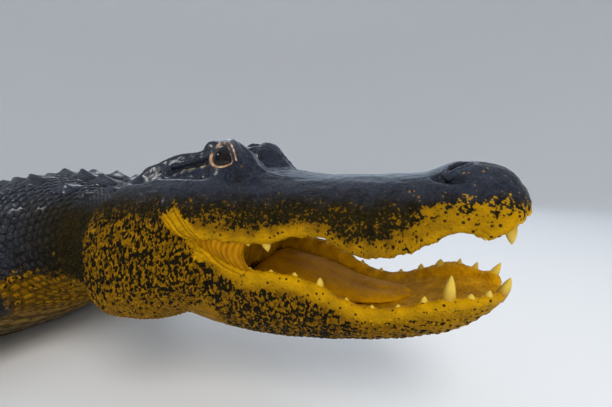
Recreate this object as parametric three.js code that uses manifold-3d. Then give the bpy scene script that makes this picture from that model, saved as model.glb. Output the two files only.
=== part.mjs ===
// A life-size American alligator, about 3 m long, resting on its belly with its head raised
// and its mouth a little open. Millimetres, +Z up, head towards +X, right side towards -Y.
// The origin is on the floor, in the middle of the flat that the belly rests on.
import * as THREE from 'three';
import { LoftGeometry } from 'three/addons/geometries/LoftGeometry.js';
import { mergeVertices } from 'three/addons/utils/BufferGeometryUtils.js';
import Module from 'manifold-3d';

const wasm = await Module();
wasm.setup();

// Driving dimensions
const BELLY_AT = 1050; // from the snout tip back to the origin, along the spine
const NECK_CUT = 448; // where the head and jowls meet the neck
const SHOULDER_CUT = 602; // where the neck meets the torso
const VENT_CUT = 1480; // where the torso meets the tail
const TAIL_CUTS = [1850, 2220, 2610];
const TAIL_TIP = 3000;
const TAIL_BEND = 1.05; // radians the tail turns through
const TAIL_EASE = 0.75; // radians it turns back near the tip
const GAP = 0.3; // clear space left between two nodes
const HEAD_PITCH = THREE.MathUtils.degToRad(5.5); // nose up
const HEAD_ROLL = THREE.MathUtils.degToRad(4.8); // left side up
const SNOUT_TIP = new THREE.Vector3(1046, 0, 232); // the tooth line at the snout's tip
const JAW_OPEN = THREE.MathUtils.degToRad(9.7);
const JAW_HINGE = new THREE.Vector3(-430, 0, 10); // this and the next places are in the head's own frame
const MOUTH_CORNER = new THREE.Vector3(-282, 0, 8);
const JAW_BACK = -322; // where the lower jaw meets the throat
const EYE_RADIUS = 19.5;
const LID_THICKNESS = 2.8;
const EYE_CENTRE = new THREE.Vector3(-283, 42, 89.5); // of the left eye
const NOSTRIL = { back: 58, out: 16, spread: 0.4 }; // the slits spread to the rear
const EAR = { size: [54, 9, 40], at: [-338, 69, 90], lean: 0.35, spread: 0.09 };
const SCUTE_PITCH = 47; // between the cross rows of back scutes
const SCUTE_SPACING = 41; // between the columns of back scutes
const BACK_FROM = 632; // the first cross row
const CREST_JOINS = 2190; // where the tail's two crests become one
const FLANK_ROWS_END = 1820; // behind it the tail has no plates beside its crests
const LAST_ROW = 2970; // no cross row starts behind it
const TRUNK_SIDES = 20; // points round a section of the trunk
const BALL_SIDES = [12, 8];

// Materials
const finish = (color, roughness) => new THREE.MeshStandardMaterial({ color, roughness, metalness: 0 });
const darkHide = finish(0x2c3038, 0.45);
const jawHide = finish(0x9a7430, 0.5);
const mouthFlesh = finish(0xb5702a, 0.4);
const eyeGloss = finish(0x0d0b09, 0.08);

// A smooth curve through stations [position, value, value, ...] that never overshoots them
function profile(stations) {
  const at = stations.map((row) => row[0]);
  const slopes = (k) => {
    const steps = at.slice(1).map((a, i) => (stations[i + 1][k] - stations[i][k]) / (a - at[i]));
    return at.map((_, i) => {
      if (i === 0) return steps[0];
      if (i === at.length - 1) return steps[i - 1];
      const [before, after] = [steps[i - 1], steps[i]];
      return before * after <= 0 ? 0 : (2 * before * after) / (before + after);
    });
  };
  const tangents = stations[0].slice(1).map((_, k) => slopes(k + 1));
  return (position) => {
    const p = Math.min(Math.max(position, at[0]), at[at.length - 1]);
    let i = 0;
    while (i < at.length - 2 && p > at[i + 1]) i += 1;
    const width = at[i + 1] - at[i];
    const t = (p - at[i]) / width;
    return tangents.map((m, k) => {
      const a = stations[i][k + 1];
      const b = stations[i + 1][k + 1];
      const low = (1 + 2 * t) * (1 - t) ** 2 * a + t * (1 - t) ** 2 * width * m[i];
      return low + t * t * (3 - 2 * t) * b + t * t * (t - 1) * width * m[i + 1];
    });
  };
}

const smooth = (low, high, x) => THREE.MathUtils.smoothstep(x, low, high);
const power = (v, exponent) => Math.sign(v) * Math.abs(v) ** exponent;
const range = (count) => Array.from({ length: count }, (_, i) => i);
const steps = (from, to, count) => range(count + 1).map((i) => from + ((to - from) * i) / count);

// A repeatable random number from 0 to 1, so that scutes and teeth vary the same way each time
const CYCLE = 2147483647;
let seed = 7;
function chance() {
  seed = (seed * 16807) % CYCLE;
  return seed / CYCLE;
}
const vary = (share) => 1 + share * (2 * chance() - 1);

// A closed surface as a solid
function solidOf(geometry) {
  const bare = new THREE.BufferGeometry().copy(geometry);
  bare.deleteAttribute('normal');
  bare.deleteAttribute('uv');
  const merged = mergeVertices(bare, 1e-3);
  const corners = merged.index.array;
  const triangles = [];
  for (let i = 0; i < corners.length; i += 3) {
    const [a, b, c] = corners.slice(i, i + 3);
    if (a !== b && b !== c && a !== c) triangles.push(a, b, c);
  }
  const vertProperties = merged.attributes.position.array;
  const triVerts = new Uint32Array(triangles);
  return new wasm.Manifold(new wasm.Mesh({ numProp: 3, vertProperties, triVerts }));
}

// A solid through closed rings of points, which may run either way round
function loft(rings) {
  const middle = (points) => {
    const sum = points.reduce((total, point) => total.add(point), new THREE.Vector3());
    return sum.divideScalar(points.length);
  };
  const along = middle(rings[rings.length - 1]).sub(middle(rings[0]));
  const ring = rings[Math.floor(rings.length / 2)];
  const area = new THREE.Vector3();
  ring.forEach((point, i) => area.add(point.clone().cross(ring[(i + 1) % ring.length])));
  const sections = area.dot(along) > 0 ? rings : rings.map((points) => [...points].reverse());
  return solidOf(new LoftGeometry(sections, { capStart: true, capEnd: true }));
}

const joined = (solids) => wasm.Manifold.union(solids);
const largest = (solid) => solid.decompose().sort((a, b) => b.volume() - a.volume())[0];
const aboveFloor = (solid) => solid.trimByPlane([0, 0, 1], 0);

const group = new THREE.Group();
function addNode(name, solid, material) {
  const mesh = largest(aboveFloor(solid)).getMesh();
  const geometry = new THREE.BufferGeometry();
  geometry.setAttribute('position', new THREE.BufferAttribute(mesh.vertProperties, 3));
  geometry.setIndex(new THREE.BufferAttribute(mesh.triVerts, 1));
  geometry.computeVertexNormals();
  const node = new THREE.Mesh(geometry, material);
  node.name = name;
  group.add(node);
}

// Spine: a straight trunk, and a tail that sweeps to the left and eases back
function spineTable() {
  const rows = [{ x: BELLY_AT, y: 0, turn: 0 }];
  for (let s = 1; s <= TAIL_TIP; s += 1) {
    const last = rows[s - 1];
    const turn = TAIL_BEND * smooth(1350, 2450, s) - TAIL_EASE * smooth(2150, TAIL_TIP, s);
    rows.push({ x: last.x - Math.cos(turn), y: last.y + Math.sin(turn), turn });
  }
  return rows;
}
const spine = spineTable();
function spineAt(s) {
  const from = Math.min(Math.floor(s), TAIL_TIP - 1);
  const [a, b] = [spine[from], spine[from + 1]];
  const mix = (key) => THREE.MathUtils.lerp(a[key], b[key], s - from);
  return { x: mix('x'), y: mix('y'), turn: mix('turn') };
}

// Body sections: [along the spine, half width, top, bottom, height of the widest level, squareness]
const bodyProfile = profile([
  [290, 80, 226, 140, 0.5, 2.2],
  [305, 95, 238, 128, 0.5, 2.2],
  [325, 105, 250, 118, 0.48, 2.2],
  [350, 112, 258, 109, 0.45, 2.4],
  [380, 118, 262, 98, 0.43, 2.7],
  [422, 121, 264, 95, 0.43, 2.8],
  [436, 118, 263, 98, 0.44, 2.7],
  [450, 109, 262, 107, 0.45, 2.6],
  [475, 105, 262, 111, 0.46, 2.5],
  [508, 103, 264, 113, 0.47, 2.4],
  [545, 105, 270, 107, 0.47, 2.3],
  [586, 112, 277, 90, 0.46, 2.2],
  [636, 131, 280, 62, 0.45, 2.2],
  [700, 160, 270, 24, 0.43, 2.25],
  [770, 184, 262, -4, 0.4, 2.3],
  [880, 200, 260, -12, 0.38, 2.35],
  [1050, 207, 260, -12, 0.37, 2.4],
  [1220, 197, 254, -12, 0.38, 2.35],
  [1340, 170, 247, -12, 0.42, 2.3],
  [1430, 142, 239, -10, 0.44, 2.25],
  [1520, 120, 228, -8, 0.43, 2.2],
  [1660, 97, 206, -6, 0.42, 2.2],
  [1850, 77, 179, -6, 0.42, 2.2],
  [2100, 57, 147, -5, 0.42, 2.2],
  [2400, 39, 108, -4, 0.42, 2.2],
  [2700, 23, 68, -3, 0.42, 2.2],
  [2900, 12, 38, -2, 0.42, 2.2],
  [3000, 4, 14, -1, 0.42, 2.2],
]);

// A point on the body: s along the spine, a round the section from the top, 0 to 2 pi
function bodyPoint(s, a, grow = 0) {
  const [half, top, bottom, level, squareness] = bodyProfile(s);
  const centre = bottom + (top - bottom) * level;
  const reach = (Math.cos(a) > 0 ? top - centre : centre - bottom) + grow;
  const across = (half + grow) * power(Math.sin(a), 2 / squareness);
  const up = centre + reach * power(Math.cos(a), 2 / squareness);
  const { x, y, turn } = spineAt(s);
  return new THREE.Vector3(x + across * Math.sin(turn), y + across * Math.cos(turn), up);
}

// The angle round a section at an arc length out from the middle of the back
const ARC_STEP = Math.PI / 80;
function angleAt(s, arc) {
  let angle = 0;
  let left = arc;
  let here = bodyPoint(s, 0);
  while (angle < 2.4) {
    const next = bodyPoint(s, angle + ARC_STEP);
    const step = next.distanceTo(here);
    if (step >= left) return angle + (ARC_STEP * left) / step;
    left -= step;
    angle += ARC_STEP;
    here = next;
  }
  return angle;
}

// Angles of a ring's points on one side. Over the shield of scutes the first ones lie in the
// gaps between its columns, and elsewhere they are even.
function ringAngles(s, around) {
  const half = around / 2;
  const even = range(half + 1).map((i) => (Math.PI * i) / half);
  const shield = smooth(NECK_CUT, SHOULDER_CUT, s) * (1 - smooth(VENT_CUT, 1620, s));
  if (shield === 0 || around !== TRUNK_SIDES) return even;
  const gaps = [0, 1, 2].map((i) => angleAt(s, 2 * i * SCUTE_SPACING));
  const rest = steps(gaps[2], Math.PI, half - 2).slice(1);
  return [...gaps, ...rest].map((angle, i) => THREE.MathUtils.lerp(even[i], angle, shield));
}

function bodyRing(s, around, grow = 0) {
  const side = ringAngles(s, around);
  const back = side.slice(1, -1).reverse().map((angle) => -angle);
  return [...side, ...back].map((angle) => bodyPoint(s, angle, grow));
}

const bodyLoft = (stations, around, grow = 0) => loft(stations.map((s) => bodyRing(s, around, grow)));

// Where a scute sits: s along the spine and an arc length out from the middle of the back
function backPlace(s, arc) {
  const angle = Math.sign(arc) * angleAt(s, Math.abs(arc));
  const spot = bodyPoint(s, angle);
  const ahead = bodyPoint(s - 5, angle).sub(bodyPoint(s + 5, angle)).normalize();
  const round = bodyPoint(s, angle + 0.02).sub(bodyPoint(s, angle - 0.02));
  const out = ahead.clone().cross(round).normalize();
  return { spot, ahead, out, across: out.clone().cross(ahead) };
}

// A keeled scute: a low plate with a ridge along it, its root sunk in the hide
function scute(place, length, width, height, sink = 9) {
  const plate = new THREE.BoxGeometry(1, 1, 1, 1, 1, 2);
  const levels = [
    { lift: -sink, long: 0.85, wide: 0.85 },
    { lift: 0.3 * height, long: 1, wide: 1 },
    { lift: height, long: 0.62, wide: 0 },
  ];
  return shaped(plate, place, length, width, levels);
}

// A ridge without a rim: a flank scute, or one fin of the tail's crest
function ridge(place, length, width, height, sink) {
  const fin = new THREE.BoxGeometry(1, 1, 1, 1, 1, 1);
  const levels = [
    { lift: -sink, long: 1, wide: 1 },
    { lift: height, long: 0.6, wide: 0 },
  ];
  return shaped(fin, place, length, width, levels);
}

// A box of one unit, taken level by level from its place on the hide. Each leans back a little.
function shaped(box, place, length, width, levels) {
  const spots = box.attributes.position;
  for (let i = 0; i < spots.count; i += 1) {
    const k = Math.round((spots.getZ(i) + 0.5) * (levels.length - 1));
    const { lift, long, wide } = levels[k];
    const back = k === levels.length - 1 ? 0.1 * length : 0;
    const point = place.spot.clone().addScaledVector(place.ahead, spots.getX(i) * length * long - back);
    point.addScaledVector(place.across, spots.getY(i) * width * wide);
    point.addScaledVector(place.out, lift);
    spots.setXYZ(i, point.x, point.y, point.z);
  }
  return solidOf(box);
}

// Back scutes: cross rows from the shoulders to the hips, widest at mid back
const BACK_ROWS = [4, 6, 6, 6, 8, 8, 8, 8, 8, 8, 8, 8, 6, 6, 6, 4, 4];
function backScutes() {
  return BACK_ROWS.flatMap((count, row) =>
    range(count).map((column) => {
      const out = column - (count - 1) / 2;
      const edge = Math.abs(out) > 3;
      const place = backPlace(BACK_FROM + row * SCUTE_PITCH, out * SCUTE_SPACING);
      const length = (SCUTE_PITCH - 5) * vary(0.04);
      if (edge) return ridge(place, length, 32 * vary(0.04), 8 * vary(0.12), 9);
      return scute(place, length, 36.5 * vary(0.04), 11 * vary(0.12));
    }),
  );
}

// Neck scutes: two pairs of large plates, a smaller pair behind, and a row behind the skull
function neckScutes() {
  const plates = [
    [530, 26, 44, 42, 13],
    [576, 25, 42, 40, 13],
    [553, 66, 36, 30, 9],
    [484, 22, 22, 22, 8],
    [481, 52, 20, 22, 7],
    [508, 72, 18, 18, 6],
  ];
  return plates.flatMap(([s, arc, length, width, height]) =>
    [-1, 1].map((side) => {
      const form = width > 25 ? scute : ridge;
      return form(backPlace(s, side * arc), length * vary(0.05), width * vary(0.05), height * vary(0.1), 9);
    }),
  );
}

// Tail scutes: cross rows that shorten towards the tip. Two crests rise and meet in one.
function tailRows() {
  const rows = [];
  let front = VENT_CUT + 2;
  while (front < LAST_ROW) {
    const length = THREE.MathUtils.mapLinear(front, VENT_CUT, TAIL_TIP, 46, 27);
    rows.push({ front, length, s: front + length / 2 });
    front += length;
  }
  return rows;
}

// The tail is parted between two cross rows
const tailCuts = TAIL_CUTS.map((cut) => tailRows().find(({ front }) => front > cut).front);

function tailScutes(from, to) {
  return tailRows()
    .filter(({ front }) => front >= from && front < to)
    .flatMap(({ s, length }) => {
      const [half, top] = bodyProfile(s);
      const rise = smooth(VENT_CUT, CREST_JOINS, s);
      const sink = Math.min(12, top * 0.2);
      if (s > CREST_JOINS) {
        const height = THREE.MathUtils.mapLinear(s, CREST_JOINS, TAIL_TIP, 46, 12) * vary(0.06);
        const thick = Math.max(half * 0.42, 5);
        return [ridge(backPlace(s, 0.001), length * 0.86, thick, height, sink)];
      }
      const height = (11 + 27 * rise) * vary(0.06);
      const apart = THREE.MathUtils.lerp(46, 13, rise);
      const thick = THREE.MathUtils.lerp(32, 12, rise);
      const pair = (arc, wide, tall) =>
        [-1, 1].map((side) => ridge(backPlace(s, side * arc), length * 0.86, wide, tall, sink));
      const rows = pair(apart, thick, height);
      if (s < FLANK_ROWS_END) rows.push(...pair(apart + 37, 31, 7));
      return rows;
    });
}

// The head's own frame: the tooth line's tip at the origin, +X forward
const headTurn = new THREE.Euler(HEAD_ROLL, -HEAD_PITCH, 0, 'XYZ');
const headMatrix = new THREE.Matrix4().makeRotationFromEuler(headTurn).setPosition(SNOUT_TIP);
const inHead = (point) => point.applyMatrix4(headMatrix);

function openJaw(point) {
  const local = point.sub(JAW_HINGE);
  local.applyAxisAngle(new THREE.Vector3(0, 1, 0), JAW_OPEN);
  return local.add(JAW_HINGE);
}

// Upper jaw and skull: [back from the tip, half width, top, lip, squareness]
const skullProfile = profile([
  [0, 6, 24, 14, 2],
  [5, 25, 34, 13.5, 2.1],
  [16, 39, 45, 8.5, 2.2],
  [27, 46, 47.5, 2.5, 2.25],
  [38, 50, 49, -3, 2.3],
  [61, 52, 51, 3, 2.4],
  [86, 55, 53, -5, 2.4],
  [102, 60, 54, -11, 2.4],
  [129, 67, 56, -14, 2.4],
  [148, 70, 58, -11, 2.4],
  [178, 72, 61, 7, 2.4],
  [202, 74, 65, 9.5, 2.4],
  [228, 79, 72, 5, 2.4],
  [255, 87, 80, 7, 2.3],
  [285, 97, 89, 14, 2.3],
  [315, 104, 94, 20, 2.3],
  [350, 109, 97, 24, 2.3],
  [400, 110, 96, 28, 2.3],
  [425, 101, 88, 32, 2.3],
]);

// Height of the skull's roof at a distance back from the tip and out from the middle
const lobe = (u, v) => Math.max(1 - u * u - v * v, 0) ** 1.25;
function skullTop(back, out) {
  const [half, top, lip, squareness] = skullProfile(back);
  const aside = Math.abs(out);
  const share = Math.min(aside / half, 1);
  const tableEdge = THREE.MathUtils.mapLinear(back, 290, 400, 47, 57);
  const table = smooth(286, 312, back) * (1 - smooth(392, 412, back));
  const groove = 13 * table * Math.exp(-(((aside - tableEdge - 13) / 8) ** 2));
  const round = lip + (top - lip) * (1 - share ** squareness) ** (1 / squareness) - groove;
  const crown = 106 - 9 * smooth(345, 400, back);
  const flat = table * (1 - smooth(tableEdge - 3, tableEdge + 5, aside));
  const brow = 30 * lobe((back - 277) / 40, (aside - 43) / 25);
  const nose = 10 * lobe((back - 43) / 42, out / 42);
  const dip = 6 * lobe((back - 268) / 45, out / 18);
  return THREE.MathUtils.lerp(round, Math.max(round, crown), flat) + brow + nose - dip;
}

// One ring of the upper jaw: over the roof from lip to lip, then back across the palate
const ROOF_STEPS = 20;
function skullRing(back) {
  const [half, top, lip] = skullProfile(back);
  const roof = range(ROOF_STEPS + 1).map((i) => {
    const angle = (Math.PI * i) / ROOF_STEPS;
    const out = half * power(-Math.cos(angle), 0.85);
    return [out, i === 0 || i === ROOF_STEPS ? lip + 0.12 * (top - lip) : skullTop(back, out)];
  });
  const palate = [0.94, 0.78, 0.3, -0.3, -0.78, -0.94].map((share) => {
    const depth = { 0.94: -0.02, 0.78: 0.1, 0.3: 0.26 }[Math.abs(share)];
    return [half * share, lip + depth * (top - lip)];
  });
  return [...roof, ...palate].map(([out, z]) => inHead(new THREE.Vector3(-back, out, z)));
}

// Lower jaw, closed: [back from the tip, half width, rim, bottom, floor of the mouth]
const jawProfile = profile([
  [14, 9, 6, -6, 3],
  [18, 20, 7.5, -11, 2],
  [28, 31, 7, -20, 0],
  [44, 39.5, 4, -34, -4],
  [66, 44, 0, -50, -9],
  [84, 46, -7, -58, -15],
  [106, 48, -17, -66, -23],
  [133, 53, -22, -73, -30],
  [157, 57, -18, -80, -32],
  [181, 61, -7, -87, -31],
  [215, 68, 1.5, -94, -29],
  [255, 79, 3.5, -97, -27],
  [290, 91, 18.5, -96, -24],
  [330, 101, 24, -89, -16],
  [380, 104, 26, -74, -10],
]);

// One ring of the lower jaw: from rim to rim under the chin, then back over the mouth's floor
const CHIN_STEPS = 12;
function jawRing(back) {
  const [half, rim, bottom, floor] = jawProfile(back);
  const chin = range(CHIN_STEPS + 1).map((i) => {
    const angle = (Math.PI * i) / CHIN_STEPS;
    return [half * power(Math.cos(angle), 0.85), rim - (rim - bottom) * power(Math.sin(angle), 0.85)];
  });
  const floorLine = [-0.93, -0.8, -0.64, 0, 0.64, 0.8, 0.93].map((share) => {
    const depth = { 0.93: -0.04, 0.8: 0.2, 0.64: 0.88, 0: 1 }[Math.abs(share)];
    return [half * share, rim - (rim - floor) * depth];
  });
  return [...chin, ...floorLine].map(([out, z]) => inHead(openJaw(new THREE.Vector3(-back, out, z))));
}

// A tooth: a cone of five sides from a point on the gum. A long one bends inwards.
function tooth(root, lean, length, radius, place) {
  const levels = length > 10 ? [[-0.4, 1], [0.5, 0.8], [1, 0.08]] : [[-0.5, 1.1], [1, 0.1]];
  const rings = levels.map(([share, taper]) => {
    const girth = radius * taper;
    const centre = root.clone().addScaledVector(lean, share * length);
    centre.y -= Math.sign(root.y) * 0.12 * length * share ** 2;
    return range(5).map((i) => {
      const angle = (2 * Math.PI * i) / 5;
      const offset = new THREE.Vector3(Math.cos(angle) * girth * 1.1, Math.sin(angle) * girth, 0);
      return place(centre.clone().add(offset));
    });
  });
  return loft(rings);
}

// Teeth: [back from the tip, length on the left, length on the right, radius]
const UPPER_TEETH = [
  [9, 5, 4, 2.4], [16, 7, 5, 2.8], [25, 15, 16, 4.4], [44, 7, 5, 3.2],
  [84, 5, 4, 3], [102, 6, 5, 3.4], [120, 8, 5, 3.8], [140, 9, 5, 4],
  [164, 6, 4.5, 3.2], [198, 6, 5, 3.2], [234, 11, 12.5, 5], [252, 7, 6.5, 3.2],
];
const LOWER_TEETH = [
  [19, 19, 20, 4.4], [33, 13, 8, 3.4], [47, 15, 6, 3.6], [66, 12, 24.5, 5.4],
  [86, 9, 8, 3.6], [108, 7, 5, 3], [132, 7, 5, 3], [157, 8, 5, 3.2],
  [184, 9, 11, 4.2], [210, 9, 6, 3.8], [234, 8, 5, 3.4], [256, 6, 5, 3],
];
const TOOTH_VARIES = 0.04;

function upperTeeth() {
  return UPPER_TEETH.flatMap(([back, left, right, radius]) =>
    [-1, 1].map((side) => {
      const [half, , lip] = skullProfile(back);
      const root = new THREE.Vector3(-back, side * half * 0.9, lip + 1.5);
      const lean = new THREE.Vector3(0.05, side * 0.12, -1).normalize();
      const length = (side > 0 ? left : right) * vary(TOOTH_VARIES);
      return tooth(root, lean, length, radius, (p) => inHead(p));
    }),
  );
}

function lowerTeeth() {
  return LOWER_TEETH.flatMap(([back, left, right, radius]) =>
    [-1, 1].map((side) => {
      const [half, rim] = jawProfile(back);
      const front = 1 - smooth(12, 60, back);
      const root = new THREE.Vector3(-back, side * half * 0.89, rim - 1.5);
      const lean = new THREE.Vector3(0.22 * front, side * (0.1 + 0.2 * front), 1).normalize();
      const length = (side > 0 ? left : right) * vary(TOOTH_VARIES);
      return tooth(root, lean, length, radius, (p) => inHead(openJaw(p)));
    }),
  );
}

// Eyes: a ball in a socket, between lids that leave a lens-shaped opening
const LID_TILT = 0.15; // the opening's rear corner stands higher
const LID_LENS = { half: 15.6, above: 24.5, below: 20 };
const eyeSpot = (side) => EYE_CENTRE.clone().multiply(new THREE.Vector3(1, side, 1));
const eyeGaze = (side) => new THREE.Vector3(-0.08, side, 0.36).normalize();
function ball(side, radius) {
  const sphere = new THREE.SphereGeometry(radius, ...BALL_SIDES);
  sphere.translate(...eyeSpot(side).toArray()).applyMatrix4(headMatrix);
  return solidOf(sphere);
}
function lidOpening(side) {
  const { half, above, below } = LID_LENS;
  const lens = new THREE.Shape();
  lens.moveTo(-half, 0);
  lens.quadraticCurveTo(0, above, half, 0);
  lens.quadraticCurveTo(0, -below, -half, 0);
  const prism = new THREE.ExtrudeGeometry(lens, { depth: 40, bevelEnabled: false, curveSegments: 5 });
  prism.rotateZ(side * LID_TILT);
  const turn = new THREE.Matrix4().lookAt(eyeGaze(side), new THREE.Vector3(), new THREE.Vector3(0, 0, 1));
  turn.setPosition(eyeSpot(side));
  prism.applyMatrix4(turn).applyMatrix4(headMatrix);
  return solidOf(prism);
}
const lids = (side) => ball(side, EYE_RADIUS + LID_THICKNESS);

// Nostrils: two slits on the rear of the bump at the snout's end
function nostril(side) {
  const { back, out, spread } = NOSTRIL;
  const pit = new THREE.SphereGeometry(1, 6, 4);
  pit.scale(9, 3.5, 6).rotateZ(-side * spread).translate(-back, side * out, skullTop(back, out) + 1);
  return solidOf(pit.applyMatrix4(headMatrix));
}

// Ear flap: a lens of hide under the edge of the skull table, parted from the head by a thin cut
function earBlock(side, grow) {
  const [long, thick, tall] = EAR.size;
  const [x, y, z] = EAR.at;
  const slab = new THREE.BoxGeometry(long + 2 * grow, thick + 2 * grow, tall);
  slab.rotateX(-side * EAR.lean).rotateZ(-side * EAR.spread).translate(x, side * y, z);
  return solidOf(slab.applyMatrix4(headMatrix));
}

// A leg: an oval tube through its joints: [x, y, z, half width, half height], for the left side
const legPath = (joints) =>
  new THREE.CatmullRomCurve3(joints.map(([x, y, z]) => new THREE.Vector3(x, y, z)), false, 'centripetal');

function legTube(joints, from, to, around) {
  const path = legPath(joints);
  const girth = profile(joints.map(([, , , wide, tall], i) => [i, wide, tall]));
  const rings = steps(from, to, Math.round((to - from) * 3)).map((place) => {
    const share = place / (joints.length - 1);
    const [wide, tall] = girth(place);
    const centre = path.getPoint(share);
    const along = path.getTangent(share);
    const side = new THREE.Vector3(0, 0, 1).cross(along).normalize();
    const up = along.clone().cross(side);
    return range(around).map((i) => {
      const angle = (2 * Math.PI * i) / around;
      const point = centre.clone().addScaledVector(side, wide * Math.cos(angle));
      return point.addScaledVector(up, tall * Math.sin(angle));
    });
  });
  return loft(rings);
}

// Keeps what lies past a joint of the leg (side 1), or before it (side -1)
function pastJoint(solid, joints, joint, side) {
  const share = joint / (joints.length - 1);
  const normal = legPath(joints).getTangent(share).multiplyScalar(side);
  const offset = normal.dot(legPath(joints).getPoint(share)) + GAP / 2;
  return solid.trimByPlane(normal.toArray(), offset);
}

// Joints of the left legs; the right ones are mirrored and set a little differently
const FORELEG = [
  [400, 70, 134, 54, 60],
  [374, 158, 120, 47, 52],
  [306, 230, 86, 37, 40],
  [352, 266, 55, 32, 33],
  [402, 284, 27, 25, 22],
  [440, 294, 13, 33, 15],
];
const HINDLEG = [
  [-355, 60, 138, 66, 76],
  [-300, 140, 132, 62, 72],
  [-212, 238, 104, 46, 50],
  [-278, 272, 70, 38, 40],
  [-345, 300, 34, 27, 28],
  [-290, 322, 13, 36, 15],
];

// A toe: a tapering tube from the palm to a claw, or to a blunt tip
function toe(from, heading, length, radius, clawed) {
  const ahead = new THREE.Vector3(Math.cos(heading), Math.sin(heading), 0);
  const side = new THREE.Vector3(-ahead.y, ahead.x, 0);
  const ring = (sides, [share, height, girth]) => {
    const centre = from.clone().setZ(height).addScaledVector(ahead, share * length);
    return range(sides).map((i) => {
      const angle = (2 * Math.PI * (i + 0.5)) / sides;
      const point = centre.clone().addScaledVector(side, radius * girth * Math.cos(angle));
      return point.setZ(height + radius * girth * 0.9 * Math.sin(angle));
    });
  };
  const tube = (sides, levels) => loft(levels.map((level) => ring(sides, level)));
  const pieces = [tube(5, [[0, 12, 1], [0.55, 11, 0.95], [1, 6, 0.5]])];
  const clawEnd = 0.9 + (3 * radius) / length;
  if (clawed) pieces.push(tube(4, [[0.85, 7, 0.5], [clawEnd, 2, 0.08]]));
  return pieces;
}

// A foot: [heading, length, radius, clawed] for each toe, and a web between the hind ones
const FORETOES = [
  [-0.62, 62, 9.5, true],
  [-0.2, 76, 10, true],
  [0.2, 78, 9.5, true],
  [0.62, 68, 8, false],
  [1.05, 54, 7, false],
];
const HINDTOES = [
  [-0.42, 92, 11.5, true],
  [-0.1, 118, 12, true],
  [0.22, 122, 11.5, true],
  [0.56, 104, 9, false],
];
function foot(joints, toes, heading, webReach) {
  const last = joints.length - 1;
  const palm = new THREE.Vector3(...joints[last].slice(0, 3));
  const pieces = [legTube(joints, last - 4 / 3, last, 10)];
  const heel = new THREE.SphereGeometry(1, 7, 4);
  heel.scale(joints[last][3] * 1.05, joints[last][3], 17).translate(palm.x, palm.y, 11);
  pieces.push(solidOf(heel));
  toes.forEach(([angle, length, radius, clawed]) => {
    const root = palm.clone().addScaledVector(
      new THREE.Vector3(-Math.sin(heading), Math.cos(heading), 0), angle * joints[last][3] * 0.75);
    pieces.push(...toe(root, heading + angle, length, radius, clawed));
  });
  if (webReach) {
    const fan = new THREE.Shape();
    fan.moveTo(palm.x, palm.y);
    toes.forEach(([angle, length], i) => {
      fan.lineTo(palm.x + Math.cos(heading + angle) * length * webReach,
        palm.y + Math.sin(heading + angle) * length * webReach);
      if (i < toes.length - 1) {
        const between = heading + (angle + toes[i + 1][0]) / 2;
        const reach = length * webReach * 0.78;
        fan.lineTo(palm.x + Math.cos(between) * reach, palm.y + Math.sin(between) * reach);
      }
    });
    fan.closePath();
    pieces.push(solidOf(new THREE.ExtrudeGeometry(fan, { depth: 6, bevelEnabled: false })));
  }
  return joined(pieces);
}

// Legs on both sides, cut clear of the torso
const rowGap = (row) => BACK_FROM + (row - 0.5) * SCUTE_PITCH;
const neckStations = [NECK_CUT, 478, 508, 545, 575, SHOULDER_CUT];
const torsoStations = [SHOULDER_CUT, ...[1, 2, 4, 6, 8, 10, 12, 14, 16, 17].map(rowGap), VENT_CUT];
const trunkClearance = () =>
  bodyLoft([...neckStations, ...torsoStations.slice(1), VENT_CUT + 80], TRUNK_SIDES, GAP);

function addLeg(name, joints, toes, heading, webReach, side, shift) {
  const placed = joints.map(([x, y, z, wide, tall], i) => {
    const share = smooth(0, 3, i);
    return [x + shift[0] * share, y + shift[1] * share, z, wide, tall];
  });
  const mirrored = (solid) => (side > 0 ? solid : solid.mirror([0, 1, 0]));
  const label = side > 0 ? 'left' : 'right';
  const [elbow, wrist] = [2, 4];
  const upper = pastJoint(legTube(placed, 0, elbow + 1 / 3, 10), placed, elbow, -1);
  const lower = pastJoint(legTube(placed, elbow - 1 / 3, wrist + 1 / 3, 10), placed, elbow, 1);
  const sole = pastJoint(foot(placed, toes, heading, webReach), placed, wrist, 1);
  addNode(`${name}leg_upper_${label}`, mirrored(upper).subtract(trunkClearance()), darkHide);
  addNode(`${name}leg_lower_${label}`, mirrored(pastJoint(lower, placed, wrist, -1)), darkHide);
  addNode(`${name}foot_${label}`, mirrored(sole), darkHide);
}

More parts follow.
